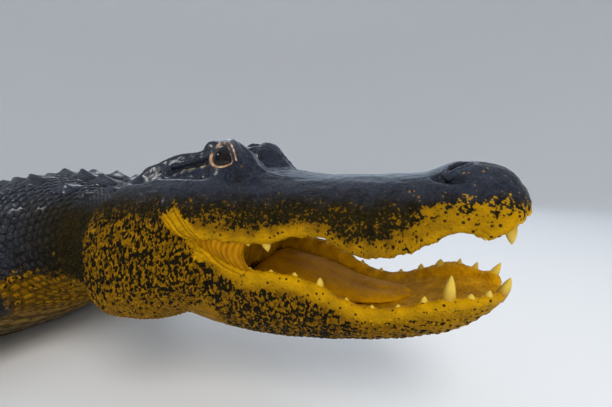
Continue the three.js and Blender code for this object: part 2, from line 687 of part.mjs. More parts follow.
// Head: the skull, jaw and jowls are made whole, then parted with thin cuts
function addHead() {
  const skullBacks = [
    0, 5, 16, 28, 43, 60, 82, 106, 129, 152, 180, 206,
    232, 250, 264, 278, 292, 306, 326, 352, 380, 402, 425,
  ];
  const jawBacks = [14, 18, 28, 44, 66, 90, 115, 142, 170, 202, 238, 274, 312, 380];
  const skull = loft(skullBacks.map(skullRing));
  const jaw = loft(jawBacks.map(jawRing));
  const jowlStations = [290, 305, 325, 350, 380, 425, ...neckStations.slice(0, -1), SHOULDER_CUT - GAP];
  const jowls = bodyLoft(jowlStations, TRUNK_SIDES);
  const sides = [-1, 1];
  const whole = joined([
    skull, jaw, jowls, ...upperTeeth(), ...lowerTeeth(), ...sides.map(lids), ...neckScutes(),
  ]);
  const mouthCut = new THREE.BoxGeometry(200, 400, GAP);
  mouthCut.translate(-100, 0, 0).rotateY(0.3).translate(...MOUTH_CORNER.toArray()).applyMatrix4(headMatrix);
  const neckCut = new THREE.BoxGeometry(GAP, 600, 600);
  neckCut.translate(BELLY_AT - NECK_CUT, 0, 200);
  const jawCut = new THREE.BoxGeometry(GAP, 400, 500);
  jawCut.translate(JAW_BACK, 0, -100).applyMatrix4(headMatrix);
  const sockets = sides.map((side) => ball(side, EYE_RADIUS + GAP));
  const parts = whole
    .subtract(joined([...sockets, ...sides.map(lidOpening), ...sides.map(nostril)]))
    .subtract(joined([solidOf(mouthCut), solidOf(neckCut)]))
    .decompose()
    .sort((a, b) => b.volume() - a.volume());
  const centre = (solid) => {
    const { min, max } = solid.boundingBox();
    return new THREE.Vector3((min[0] + max[0]) / 2, 0, (min[2] + max[2]) / 2);
  };
  const [neck, ...front] = parts.slice(0, 3).sort((a, b) => centre(a).x - centre(b).x);
  const [below, above] = front.sort((a, b) => centre(a).z - centre(b).z);
  addNode('neck', neck, darkHide);
  const ears = sides.map((side) => [side, above.intersect(earBlock(side, 0))]);
  addNode('head', sides.reduce((solid, side) => solid.subtract(earBlock(side, GAP)), above), darkHide);
  ears.forEach(([side, ear]) => addNode(side > 0 ? 'ear_left' : 'ear_right', ear, darkHide));
  const pieces = below.subtract(solidOf(jawCut)).decompose().sort((a, b) => b.volume() - a.volume());
  const [throat, jawBone] = pieces.slice(0, 2).sort((a, b) => centre(a).x - centre(b).x);
  addNode('lower_jaw', jawBone, jawHide);
  addTongue(jawBone);
  addNode('throat', throat, jawHide);
  sides.forEach((side) => {
    addNode(side > 0 ? 'eye_left' : 'eye_right', ball(side, EYE_RADIUS), eyeGloss);
  });
}

// Tongue, a broad pad on the floor of the mouth: [back, share of the jaw's width, height]
const TONGUE = [
  [98, 0.2, 5], [112, 0.42, 8], [150, 0.58, 13], [215, 0.64, 24],
  [262, 0.62, 23], [276, 0.52, 16], [282, 0.34, 8],
];
function addTongue(jaw) {
  const rings = TONGUE.map(([back, share, tall]) => {
    const [half, , , floor] = jawProfile(back);
    const wide = half * share;
    return range(12).map((i) => {
      const angle = (2 * Math.PI * i) / 12;
      const rise = floor - 2 + tall * 0.5 * (1 + power(Math.sin(angle), 0.8));
      return inHead(openJaw(new THREE.Vector3(-back, wide * Math.cos(angle), rise)));
    });
  });
  const seated = [0, GAP].map((lift) => jaw.translate([0, 0, lift]));
  addNode('tongue', loft(rings).subtract(joined(seated)), mouthFlesh);
}

function addTorso() {
  addNode('torso', joined([bodyLoft(torsoStations, TRUNK_SIDES), ...backScutes()]), darkHide);
}

// Keeps what lies behind a place on the spine (side 1), or ahead of it (side -1)
function keepSide(solid, s, side) {
  const { x, y, turn } = spineAt(s);
  const normal = new THREE.Vector3(-side * Math.cos(turn), side * Math.sin(turn), 0);
  return solid.trimByPlane(normal.toArray(), normal.dot(new THREE.Vector3(x, y, 0)));
}

function addTail() {
  const cuts = [VENT_CUT, ...tailCuts, TAIL_TIP];
  cuts.slice(0, -1).forEach((from, i) => {
    const to = cuts[i + 1];
    const around = [TRUNK_SIDES, 14, 12, 10][i];
    const body = bodyLoft(steps(from, i < 3 ? to : to - 1, 5), around);
    const whole = joined([body, ...tailScutes(from, to)]);
    addNode(`tail_${i + 1}`, keepSide(keepSide(whole, from + GAP, 1), to, -1), darkHide);
  });
}

addHead();
addTorso();
addTail();
addLeg('fore', FORELEG, FORETOES, 0.18, 0, 1, [-12, 6]);
addLeg('fore', FORELEG, FORETOES, 0.18, 0, -1, [22, -8]);
addLeg('hind', HINDLEG, HINDTOES, 0.3, 0.62, 1, [0, 0]);
addLeg('hind', HINDLEG, HINDTOES, 0.3, 0.62, -1, [-26, 10]);

export default group;
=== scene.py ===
from math import cos, pi, radians, sin

import bpy
import numpy as np
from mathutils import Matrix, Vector
from mathutils.bvhtree import BVHTree


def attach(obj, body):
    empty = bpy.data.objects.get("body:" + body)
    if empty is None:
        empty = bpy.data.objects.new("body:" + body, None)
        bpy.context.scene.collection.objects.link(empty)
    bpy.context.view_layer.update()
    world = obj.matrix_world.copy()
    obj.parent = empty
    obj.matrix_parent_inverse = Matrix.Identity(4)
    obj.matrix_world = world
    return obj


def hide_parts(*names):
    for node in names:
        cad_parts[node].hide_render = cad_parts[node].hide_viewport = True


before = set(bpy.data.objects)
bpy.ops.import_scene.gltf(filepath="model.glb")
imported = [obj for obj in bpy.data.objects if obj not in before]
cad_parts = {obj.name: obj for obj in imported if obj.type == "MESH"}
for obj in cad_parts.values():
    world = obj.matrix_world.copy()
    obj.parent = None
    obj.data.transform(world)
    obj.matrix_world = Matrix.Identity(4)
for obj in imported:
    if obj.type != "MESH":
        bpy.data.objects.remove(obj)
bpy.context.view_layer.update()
metre = 0.001  # one millimetre


# Small maths

# 0 below low, 1 above high, and 3t^2 - 2t^3 between them
def smooth(low, high, x):
    t = np.clip((x - low) / (high - low), 0, 1)
    return t * t * (3 - 2 * t)


def blend(a, b, share):
    return a + (b - a) * share


# Power of the size, with the sign kept
def signedPower(v, exponent):
    return np.sign(v) * np.abs(v) ** exponent


# A smooth curve through rows of [position, value, value, ...] that never overshoots them:
# cubic pieces whose slope at a row is the harmonic mean of the slopes beside it
def profile(stations):
    rows = np.array(stations, float)
    at, values = rows[:, 0], rows[:, 1:]
    steps = np.diff(values, axis=0) / np.diff(at)[:, None]
    before, after = steps[:-1], steps[1:]
    total = np.where(before * after > 0, before + after, 1)
    inner = np.where(before * after > 0, 2 * before * after / total, 0)
    slopes = np.vstack([steps[:1], inner, steps[-1:]])

    def curve(position):
        p = np.clip(np.asarray(position, float), at[0], at[-1])
        i = np.clip(np.searchsorted(at, p, side="right") - 1, 0, len(at) - 2)
        width = (at[i + 1] - at[i])[..., None]
        t = (p - at[i])[..., None] / width
        low = (1 + 2 * t) * (1 - t) ** 2 * values[i] + t * (1 - t) ** 2 * width * slopes[i]
        high = t * t * (3 - 2 * t) * values[i + 1] + t * t * (t - 1) * width * slopes[i + 1]
        return np.moveaxis(low + high, -1, 0)

    return curve


# Smooth random field from -1 to 1: a random value at each lattice corner, blended by 3t^2 - 2t^3
def noise(points, size, seed=1):
    p = points / size
    cell = np.floor(p).astype(np.int64)
    t = p - cell
    t = t * t * (3 - 2 * t)
    total = np.zeros(p.shape[:-1])
    for corner in range(8):
        offset = np.array([corner & 1, corner >> 1 & 1, corner >> 2 & 1])
        c = cell + offset
        key = (c[..., 0] * 73856093) ^ (c[..., 1] * 19349663) ^ (c[..., 2] * 83492791) ^ (seed * 7919)
        key = ((key ^ (key >> 13)) * 1274126177) & 0x7FFFFFFF
        key = ((key ^ (key >> 15)) * 1103515245) & 0x7FFFFFFF
        total += (key / 0x3FFFFFFF - 1) * np.prod(np.where(offset, t, 1 - t), axis=-1)
    return total


# Two sizes of noise, the finer one half as strong
def rough(points, size, seed=1):
    return (noise(points, size, seed) + 0.5 * noise(points, size / 2.1, seed + 5)) / 1.5


chance = np.random.default_rng(11)


# Meshes

# Quads of a grid of rows by columns, joined round the columns where it wraps
def gridFaces(rows, columns, wrap=True):
    row = np.arange(rows - 1)[:, None] * columns
    column = np.arange(columns if wrap else columns - 1)[None]
    after = (column + 1) % columns
    near, far = row + column, row + after
    return np.stack([near, far, far + columns, near + columns], -1).reshape(-1, 4)


# Quads of a grid that closes on itself both ways, as a ring's section does
def ringFaces(rows, columns):
    return gridFaces(rows + 1, columns) % (rows * columns)


# The corners round a grid's edge, in order
def gridEdge(rows, columns):
    grid = np.arange(rows * columns).reshape(rows, columns)
    return np.concatenate([grid[0, :-1], grid[:-1, -1], grid[-1, :0:-1], grid[:0:-1, 0]])


# A loft's faces: the grid's quads and a cap on each end ring
def loftFaces(rows, columns):
    ring = np.arange(columns)
    return [gridFaces(rows, columns), ring[None, ::-1], (rows - 1) * columns + ring[None]]


# Signed volume of each shell: a sixth of the sum of corner . (next x next), fanned over each face
def shellVolumes(points, faces):
    total = 0
    for group in faces:
        a = points[:, group[:, 0]]
        for k in range(1, group.shape[1] - 1):
            total = total + (a * np.cross(points[:, group[:, k]], points[:, group[:, k + 1]])).sum((1, 2))
    return total / 6


# One mesh from shells that share a layout: points are shells x corners x 3, faces are for one shell
def shells(points, faces):
    outward = shellVolumes(points, faces) > 0
    starts = np.arange(len(points))[:, None, None] * points.shape[1]
    turned = []
    for group in faces:
        copies = group[None] + starts
        turned += [copies[outward].reshape(-1, group.shape[1])]
        turned += [copies[~outward][..., ::-1].reshape(-1, group.shape[1])]
    return points.reshape(-1, 3), turned


# Several lists of points and faces as one
def together(parts):
    points, faces, start = [], [], 0
    for spots, groups in parts:
        points.append(spots)
        faces += [group + start for group in groups]
        start += len(spots)
    return np.concatenate(points), faces


def makeObject(name, points, faces):
    faces = [group for group in faces if len(group)]
    corners = np.concatenate([group.ravel() for group in faces])
    sizes = np.concatenate([np.full(len(group), group.shape[1]) for group in faces])
    mesh = bpy.data.meshes.new(name)
    mesh.vertices.add(len(points))
    mesh.loops.add(len(corners))
    mesh.polygons.add(len(sizes))
    mesh.vertices.foreach_set("co", (points * metre).astype(np.float32).ravel())
    mesh.loops.foreach_set("vertex_index", corners.astype(np.int32))
    mesh.polygons.foreach_set("loop_start", (np.cumsum(sizes) - sizes).astype(np.int32))
    mesh.update(calc_edges=True)
    piece = bpy.data.objects.new(name, mesh)
    bpy.context.scene.collection.objects.link(piece)
    return piece


def pointsOf(piece):
    spots = np.empty(len(piece.data.vertices) * 3, np.float32)
    piece.data.vertices.foreach_get("co", spots)
    return spots.reshape(-1, 3).astype(float) / metre


def normalsOf(piece):
    normals = np.empty(len(piece.data.vertices) * 3, np.float32)
    piece.data.vertex_normals.foreach_get("vector", normals)
    return normals.reshape(-1, 3).astype(float)


def setPoints(piece, points):
    piece.data.vertices.foreach_set("co", (points * metre).astype(np.float32).ravel())
    piece.data.update()


def setValues(piece, values):
    for key, value in values.items():
        layer = piece.data.attributes.new(key, "FLOAT", "POINT")
        layer.data.foreach_set("value", np.broadcast_to(value, len(piece.data.vertices)).astype(np.float32))


# Smooth faces, a finish, a parent under the root body, and the CAD parts that it replaces hidden, for a piece
# that is done
def dress(piece, finish, nodes):
    mesh = piece.data
    mesh.polygons.foreach_set("use_smooth", np.ones(len(mesh.polygons), bool))
    mesh.materials.append(finish)
    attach(piece, "root")
    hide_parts(*nodes)
    print(f"{piece.name}: {len(mesh.loops) - 2 * len(mesh.polygons)} triangles")
    return piece


# Fuses closed shells into one skin on a grid of small cubes, and eases its creases
def fuse(name, parts, cube, rounds):
    rawPiece = makeObject(name, *together(parts))
    remesh = rawPiece.modifiers.new("fuse", "REMESH")
    remesh.mode = "VOXEL"
    remesh.voxel_size = cube * metre
    ease = rawPiece.modifiers.new("ease", "SMOOTH")
    ease.factor = 0.5
    ease.iterations = rounds
    bpy.context.view_layer.update()
    solid = bpy.data.meshes.new_from_object(rawPiece.evaluated_get(bpy.context.evaluated_depsgraph_get()))
    bpy.data.objects.remove(rawPiece)
    piece = bpy.data.objects.new(name, solid)
    bpy.context.scene.collection.objects.link(piece)
    return piece


# Trunk, neck and tail: sections along a spine that sweeps to the left at the tail
body = {
    "bellyAt": 1050,  # from the snout's tip back to the origin, along the spine
    "tailTip": 3000,
    "tailBend": 1.05,  # radians that the tail turns through, between the next two places
    "bendsOver": (1350, 2450),
    "tailEase": 0.75,  # radians that it turns back, between the next two
    "easesOver": (2150, 3000),
    "foldDepth": 2.6,  # of the skin folds on the neck and behind the legs
}
bodyProfile = profile([  # along the spine, half width, top, bottom, level of the widest part, squareness
    [276, 30, 200, 168, 0.5, 2.2], [283, 62, 215, 150, 0.5, 2.2],
    [290, 80, 226, 140, 0.5, 2.2], [305, 95, 238, 128, 0.5, 2.2], [325, 105, 250, 118, 0.48, 2.2],
    [350, 112, 258, 109, 0.45, 2.4], [380, 118, 262, 98, 0.43, 2.7], [422, 121, 264, 95, 0.43, 2.8],
    [436, 118, 263, 98, 0.44, 2.7], [450, 109, 262, 107, 0.45, 2.6], [475, 105, 262, 111, 0.46, 2.5],
    [508, 103, 264, 113, 0.47, 2.4], [545, 105, 270, 107, 0.47, 2.3],
    [586, 112, 277, 90, 0.46, 2.2], [636, 131, 280, 62, 0.45, 2.2], [700, 160, 270, 24, 0.43, 2.25],
    [770, 184, 262, -4, 0.4, 2.3], [880, 200, 260, -12, 0.38, 2.35], [1050, 207, 260, -12, 0.37, 2.4],
    [1220, 197, 254, -12, 0.38, 2.35], [1340, 170, 247, -12, 0.42, 2.3], [1430, 142, 239, -10, 0.44, 2.25],
    [1520, 120, 228, -8, 0.43, 2.2], [1660, 97, 206, -6, 0.42, 2.2], [1850, 77, 179, -6, 0.42, 2.2],
    [2100, 57, 147, -5, 0.42, 2.2], [2400, 39, 108, -4, 0.42, 2.2], [2700, 23, 68, -3, 0.42, 2.2],
    [2900, 12, 38, -2, 0.42, 2.2], [3000, 4, 14, -1, 0.42, 2.2],
])
alongSpine = np.arange(0, body["tailTip"] + 1.0)
spineTurn = body["tailBend"] * smooth(*body["bendsOver"], alongSpine)
spineTurn -= body["tailEase"] * smooth(*body["easesOver"], alongSpine)
spineX = body["bellyAt"] - np.concatenate([[0], np.cumsum(np.cos(spineTurn[1:]))])
spineY = np.concatenate([[0], np.cumsum(np.sin(spineTurn[1:]))])


# Creases across the neck and along the low flank, as a depth that is taken off the section
def bodyFolds(s, angle):
    side = smooth(0.5, 1.2, np.abs(angle))
    neck = smooth(450, 480, s) * (1 - smooth(640, 700, s))
    wander = 7 * np.sin(2.3 * angle + 0.02 * s) + 4 * np.sin(5.1 * angle)
    rings = np.abs(np.sin(pi * (s + wander) / 33)) ** 0.6 - 0.75
    crease = np.exp(-(((np.abs(angle) - 1.72) / 0.13) ** 2))
    flank = smooth(700, 820, s) * (1 - smooth(1380, 1460, s)) * crease
    return body["foldDepth"] * (neck * side * rings - 1.3 * flank)


# A point on the body, s along the spine and an angle round from the top: a rounded square whose
# half width and reach are raised to 2 / squareness, set square to the spine
def bodyPoint(s, angle, grow=0.0):
    half, top, bottom, level, squareness = bodyProfile(s)
    grow = grow + bodyFolds(s, angle)
    middle = bottom + (top - bottom) * level
    reach = np.where(np.cos(angle) > 0, top - middle, middle - bottom) + grow
    across = (half + grow) * signedPower(np.sin(angle), 2 / squareness)
    up = middle + reach * signedPower(np.cos(angle), 2 / squareness)
    turn = np.interp(s, alongSpine, spineTurn)
    x = np.interp(s, alongSpine, spineX) + across * np.sin(turn)
    y = np.interp(s, alongSpine, spineY) + across * np.cos(turn)
    return np.stack(np.broadcast_arrays(x, y, up), -1)


# Arc length out from the middle of the back, on a table of stations by angles
arcStations = np.arange(276, 3001, 4.0)
arcAngles = np.linspace(0, pi, 181)
arcSpots = bodyPoint(arcStations[:, None], arcAngles[None])
arcSteps = np.linalg.norm(np.diff(arcSpots, axis=1), axis=-1)
arcLengths = np.concatenate([np.zeros((len(arcStations), 1)), np.cumsum(arcSteps, axis=1)], axis=1)
arcShares = np.linspace(0, 1, 181)
arcTable = np.stack([np.interp(arcShares * row[-1], row, arcAngles) for row in arcLengths])


def halfGirth(s):
    return np.interp(s, arcStations, arcLengths[:, -1])


# The angle round a section that lies an arc length out from the middle of the back
def angleAt(s, arc):
    share = np.clip(np.abs(arc) / halfGirth(s), 0, 1) * (len(arcShares) - 1)
    row = np.clip((s - arcStations[0]) / 4, 0, len(arcStations) - 1.001)
    i, j = np.floor(row).astype(int), np.minimum(np.floor(share).astype(int), len(arcShares) - 2)
    u, v = row - i, share - j
    near = blend(arcTable[i, j], arcTable[i, j + 1], v)
    return np.sign(arc) * blend(near, blend(arcTable[i + 1, j], arcTable[i + 1, j + 1], v), u)


def bodySurface(s, arc, lift):
    s, arc = np.broadcast_arrays(s, arc)
    return bodyPoint(s, angleAt(s, arc), lift)


def bodyShell(start, end, step, around, grow):
    s = np.linspace(start, end, int((end - start) / step) + 1)
    angle = np.linspace(-pi, pi, around, endpoint=False)
    points = bodyPoint(s[:, None], angle[None], grow(s)[:, None])
    return points.reshape(-1, 3), loftFaces(len(s), around)


# The head's own frame: the tooth line's tip at the origin, back and out in the tooth plane
headPose = {
    "tip": np.array([1046, 0, 232.0]),
    "pitch": radians(5.5),  # nose up
    "roll": radians(4.8),  # left side up
    "jawOpen": radians(9.7),
    "jawHinge": np.array([-430, 0, 10.0]),
}
rollTurn = np.array([
    [1, 0, 0],
    [0, cos(headPose["roll"]), -sin(headPose["roll"])],
    [0, sin(headPose["roll"]), cos(headPose["roll"])],
])
pitchTurn = np.array([
    [cos(headPose["pitch"]), 0, -sin(headPose["pitch"])],
    [0, 1, 0],
    [sin(headPose["pitch"]), 0, cos(headPose["pitch"])],
])
jawTurn = np.array([
    [cos(headPose["jawOpen"]), 0, sin(headPose["jawOpen"])],
    [0, 1, 0],
    [-sin(headPose["jawOpen"]), 0, cos(headPose["jawOpen"])],
])
headTurn = rollTurn @ pitchTurn


def inHead(points):
    return points @ headTurn.T + headPose["tip"]


def toHead(points):
    return (points - headPose["tip"]) @ headTurn


def openJaw(points):
    return (points - headPose["jawHinge"]) @ jawTurn.T + headPose["jawHinge"]


def closeJaw(points):
    return (points - headPose["jawHinge"]) @ jawTurn + headPose["jawHinge"]


skullProfile = profile([  # back from the tip, half width, top, lip, squareness
    [0, 6, 24, 14, 2], [5, 25, 34, 13.5, 2.1], [16, 39, 45, 8.5, 2.2], [27, 46, 47.5, 2.5, 2.25],
    [38, 50, 49, -3, 2.3], [61, 52, 51, 3, 2.4], [86, 55, 53, -5, 2.4], [102, 60, 54, -11, 2.4],
    [129, 67, 56, -14, 2.4], [148, 70, 58, -11, 2.4], [178, 72, 61, 7, 2.4], [202, 74, 65, 9.5, 2.4],
    [228, 79, 72, 5, 2.4], [255, 87, 80, 7, 2.3], [285, 97, 89, 14, 2.3], [315, 104, 94, 20, 2.3],
    [350, 109, 97, 24, 2.3], [400, 110, 96, 28, 2.3], [425, 101, 88, 32, 2.3],
])
palateDepth = profile([[0, 0.28], [0.3, 0.26], [0.78, 0.1], [0.9, -0.015], [0.94, -0.02], [0.985, 0.03]])


# A smooth mound that ends at one radius
def lobe(u, v):
    return np.maximum(1 - u * u - v * v, 0) ** 1.25


# Height of the skull's roof: a rounded square, with a flat table between the ears, a groove
# beside it, a brow over each eye, a mound at the nostrils and a dip between the eyes
def skullTop(back, out):
    half, top, lip, squareness = skullProfile(back)
    aside = np.abs(out)
    share = np.minimum(aside / half, 1)
    tableEdge = blend(47, 57, (back - 290) / 110)
    table = smooth(286, 312, back) * (1 - smooth(392, 412, back))
    groove = 13 * table * np.exp(-(((aside - tableEdge - 13) / 8) ** 2))
    dome = lip + (top - lip) * (1 - share ** squareness) ** (1 / squareness) - groove
    crown = 106 - 9 * smooth(345, 400, back)
    flat = table * (1 - smooth(tableEdge - 3, tableEdge + 5, aside))
    brow = 30 * lobe((back - 277) / 40, (aside - 43) / 25)
    nose = 10 * lobe((back - 43) / 42, out / 42)
    dip = 6 * lobe((back - 268) / 45, out / 18)
    return blend(dome, np.maximum(dome, crown), flat) + brow + nose - dip


def skullShell():
    back = np.concatenate([np.linspace(0, 16, 9), np.linspace(18, 425, 160)])[:, None]
    half, top, lip, _ = skullProfile(back)
    angle = np.linspace(0, pi, 130)[None]
    roofOut = -half * signedPower(np.cos(angle), 0.85)
    roof = np.maximum(skullTop(back, roofOut), lip + 0.12 * (top - lip))
    share = np.linspace(0.985, -0.985, 44)[None]
    palate = lip + palateDepth(np.abs(share))[0] * (top - lip)
    out = np.concatenate([roofOut, half * share], 1)
    z = np.concatenate([roof, palate], 1)
    spots = np.stack([-back + 0 * out, out, z], -1)
    return inHead(spots.reshape(-1, 3)), loftFaces(*z.shape)


jawProfile = profile([  # back from the tip, half width, rim, bottom, floor of the mouth
    [16, 9, 5, -7, 3], [20, 20, 6, -12, 2], [30, 31, 5.5, -21, 0], [45, 39, 3, -35, -4],
    [66, 44, -0.5, -50, -9], [84, 46, -7, -58, -15], [106, 48, -17, -66, -23], [133, 53, -22, -73, -30],
    [157, 57, -18, -80, -32], [181, 61, -7, -87, -31], [215, 68, 1.5, -94, -29], [255, 79, 3.5, -97, -27],
    [290, 91, 18.5, -96, -24], [330, 101, 24, -89, -16], [380, 104, 26, -74, -10],
])
floorDepth = profile([[0, 1], [0.64, 0.88], [0.8, 0.2], [0.93, -0.04], [0.985, -0.02]])


# A point on the lower jaw's outside, from rim to rim under the chin, with the jaw open
def jawSurface(back, angle, lift=0.0):
    half, rim, bottom, _ = jawProfile(back)
    out = (half + lift) * signedPower(np.cos(angle), 0.85)
    z = rim - (rim - bottom + lift) * signedPower(np.sin(angle), 0.85)
    return inHead(openJaw(np.stack(np.broadcast_arrays(-back, out, z), -1)))


def jawShell():
    back = np.concatenate([np.linspace(16, 20, 5), np.linspace(22, 380, 140)])[:, None]
    half, rim, bottom, floor = jawProfile(back)
    chin = jawSurface(back, np.linspace(0, pi, 100)[None])
    share = np.linspace(-0.985, 0.985, 60)[None]
    z = rim - (rim - floor) * floorDepth(np.abs(share))[0]
    lining = inHead(openJaw(np.stack([-back + 0 * z, half * share, z], -1)))
    points = np.concatenate([chin, lining], 1)
    return points.reshape(-1, 3), loftFaces(*points.shape[:2])


rimSamples = np.linspace(16, 380, 200)
rimSpots = openJaw(np.stack([-rimSamples, 0 * rimSamples, jawProfile(rimSamples)[1]], -1))


def openRim(back):
    return np.interp(back, -rimSpots[:, 0], rimSpots[:, 2])


# Eyes
eyes = {
    "radius": 19.5,
    "bulge": 0.035,  # of the clear front, as a share of the radius
    "lid": 2.8,
    "centre": (-283, 42, 89.5),  # of the left eye, in the head's frame
    "gaze": (-0.08, 1, 0.36),  # of the left eye, before it is made one long
    "halfLength": 16.8,  # of the opening, measured over the ball
    "bowUp": 13.2,  # the upper lid's height above the corners, and the lower one's below
    "bowDown": 10.8,
    "tilt": 0.5,  # the opening's rear corner stands higher
    "peak": 0.3,  # how far the upper edge's highest point lies toward the rear
}


def eyeSpot(side):
    x, y, z = eyes["centre"]
    return np.array([x, side * y, z], float)


# Axes of an eye: forward along the opening, up, and out along the gaze, in the head's frame
def eyeAxes(side):
    gaze = np.array(eyes["gaze"]) * np.array([1, side, 1])
    gaze /= np.linalg.norm(gaze)
    ahead = np.cross(np.array([0, 0, 1.0]), gaze) * -side
    ahead /= np.linalg.norm(ahead)
    up = np.cross(ahead, gaze) * side
    tilt = -eyes["tilt"]
    return cos(tilt) * ahead + sin(tilt) * up, cos(tilt) * up - sin(tilt) * ahead, gaze


# The opening's edge above and below its long axis
def eyeOpening(along, above):
    place = np.clip(along / eyes["halfLength"], -1, 1)
    share = 1 - place ** 2
    upper = eyes["bowUp"] * share ** 0.62 * (1 - eyes["peak"] * place)
    return np.where(above, upper, eyes["bowDown"] * share ** 0.8)


# Distances over the ball from the middle of the gaze, forward and up, and the distance from its centre
def eyeCoordinates(h, side):
    along, up, gaze = eyeAxes(side)
    e = h - eyeSpot(side)
    a, b, g = e @ along, e @ up, e @ gaze
    far = np.linalg.norm(e, axis=-1)
    flat = np.maximum(np.hypot(a, b), 1e-6)
    arc = eyes["radius"] * np.arccos(np.clip(g / np.maximum(far, 1e-6), -1, 1)) / flat
    return a * arc, b * arc, far


# The place that such distances name, at a distance from the ball's centre
def eyePlace(side, a, b, far):
    along, up, gaze = eyeAxes(side)
    flat = np.maximum(np.hypot(a, b), 1e-6)
    lean = flat / eyes["radius"]
    spots = (np.sin(lean) * a / flat)[..., None] * along + (np.sin(lean) * b / flat)[..., None] * up
    return eyeSpot(side) + far[..., None] * (spots + np.cos(lean)[..., None] * gaze)


def sphereShell(centre, radius, rows=24, columns=48):
    lean = np.linspace(0.02, pi - 0.02, rows)[:, None]
    turn = np.linspace(0, 2 * pi, columns, endpoint=False)[None]
    x, y, z = np.sin(lean) * np.cos(turn), np.sin(lean) * np.sin(turn), np.cos(lean)
    spots = np.stack(np.broadcast_arrays(x, y, z), -1)
    return centre + radius * spots.reshape(-1, 3), loftFaces(rows, columns)


# Legs. A joint is [x, y, height, half width, half height], on the left, and a toe is
# [turn from the heading, length, radius, 1 where it has a claw].
legs = {
    "foreJoints": [[400, 70, 134, 54, 60], [374, 158, 120, 47, 52], [306, 230, 86, 37, 40],
                   [352, 266, 55, 32, 33], [402, 284, 27, 25, 22], [440, 294, 13, 33, 15]],
    "hindJoints": [[-355, 60, 138, 66, 76], [-300, 140, 132, 62, 72], [-212, 238, 104, 46, 50],
                   [-278, 272, 70, 38, 40], [-345, 300, 34, 27, 28], [-290, 322, 13, 36, 15]],
    "foreToes": [[-0.62, 62, 9.5, 1], [-0.2, 76, 10, 1], [0.2, 78, 9.5, 1], [0.62, 68, 8, 0],
                 [1.05, 54, 7, 0]],
    "hindToes": [[-0.42, 92, 11.5, 1], [-0.1, 118, 12, 1], [0.22, 122, 11.5, 1], [0.56, 104, 9, 0]],
    "foreHeading": 0.18,
    "hindHeading": 0.3,
    "webReach": 0.62,  # of the hind toes' length
}


# Joints of one leg in the left's frame, with the far ones set off from the trunk by a shift
def legJoints(joints, shift):
    rows = np.array(joints, float)
    share = smooth(0, 3, np.arange(len(rows)))
    rows[:, 0] += shift[0] * share
    rows[:, 1] += shift[1] * share
    return rows


legSet = [
    ("foreLeft", "fore", 1, legJoints(legs["foreJoints"], (-12, 6))),
    ("foreRight", "fore", -1, legJoints(legs["foreJoints"], (22, -8))),
    ("hindLeft", "hind", 1, legJoints(legs["hindJoints"], (0, 0))),
    ("hindRight", "hind", -1, legJoints(legs["hindJoints"], (-26, 10))),
]


# The leg's middle line: a cubic between joints, whose slopes weigh the spans by the root of their length
def legLine(joints, place):
    spots = joints[:, :3]
    ends = np.vstack([2 * spots[:1] - spots[1:2], spots, 2 * spots[-1:] - spots[-2:-1]])
    i = np.clip(np.floor(place).astype(int), 0, len(spots) - 2)
    t = (place - i)[..., None]
    p0, p1, p2, p3 = (ends[i + k] for k in range(4))
    spans = [np.sqrt(np.linalg.norm(b - a, axis=-1))[..., None] for a, b in ((p0, p1), (p1, p2), (p2, p3))]
    start = (p1 - p0) / spans[0] - (p2 - p0) / (spans[0] + spans[1]) + (p2 - p1) / spans[1]
    end = (p2 - p1) / spans[1] - (p3 - p1) / (spans[1] + spans[2]) + (p3 - p2) / spans[2]
    start, end = start * spans[1], end * spans[1]
    bend = 2 * p1 - 2 * p2 + start + end
    ease = -3 * p1 + 3 * p2 - 2 * start - end
    return p1 + t * (start + t * (ease + t * bend)), start + t * (2 * ease + 3 * t * bend)


# A point on a leg: an oval across the middle line. Side -1 mirrors the leg.
def legSurface(joints, side, place, angle, lift=0.0):
    place, angle = np.broadcast_arrays(place, angle)
    middle, along = legLine(joints, place)
    along = along / np.linalg.norm(along, axis=-1, keepdims=True)
    out = np.cross(np.array([0, 0, 1.0]), along)
    out /= np.linalg.norm(out, axis=-1, keepdims=True)
    up = np.cross(along, out)
    wide, tall = profile(np.column_stack([np.arange(len(joints)), joints[:, 3:]]))(place)
    spots = middle + out * ((wide + lift) * np.cos(angle))[..., None]
    spots = spots + up * ((tall + lift) * np.sin(angle))[..., None]
    return spots * np.array([1, side, 1])


def legShell(joints, side):
    place = np.linspace(0, len(joints) - 1, 90)[:, None]
    angle = np.linspace(0, 2 * pi, 48, endpoint=False)[None]
    return legSurface(joints, side, place, angle).reshape(-1, 3), loftFaces(len(place), angle.shape[1])


# Place along a toe, height of its middle, and thickness
toeProfile = profile([[0, 12, 1], [0.3, 13, 1.02], [0.55, 11, 0.9], [0.85, 8, 0.68], [1, 6, 0.42]])


# A toe: a round tube that swells at its joints and thins to the tip. Place runs from 0 to 1.
def toeSurface(root, heading, length, radius, place, angle, lift=0.0):
    height, girth = toeProfile(place)
    swell = 1 + 0.07 * np.cos(2 * pi * place / 0.34)
    reach = radius * girth * swell + lift
    x = root[0] + cos(heading) * place * length - sin(heading) * reach * np.cos(angle)
    y = root[1] + sin(heading) * place * length + cos(heading) * reach * np.cos(angle)
    return np.stack(np.broadcast_arrays(x, y, height + 0.95 * reach * np.sin(angle)), -1)


def toeRows(kind, joints):
    heading = legs[kind + "Heading"]
    palm = joints[-1]
    aside = np.array([-sin(heading), cos(heading)])
    return [
        (palm[:2] + aside * turn * palm[3] * 0.75, heading + turn, length, radius, clawed)
        for turn, length, radius, clawed in legs[kind + "Toes"]
    ]


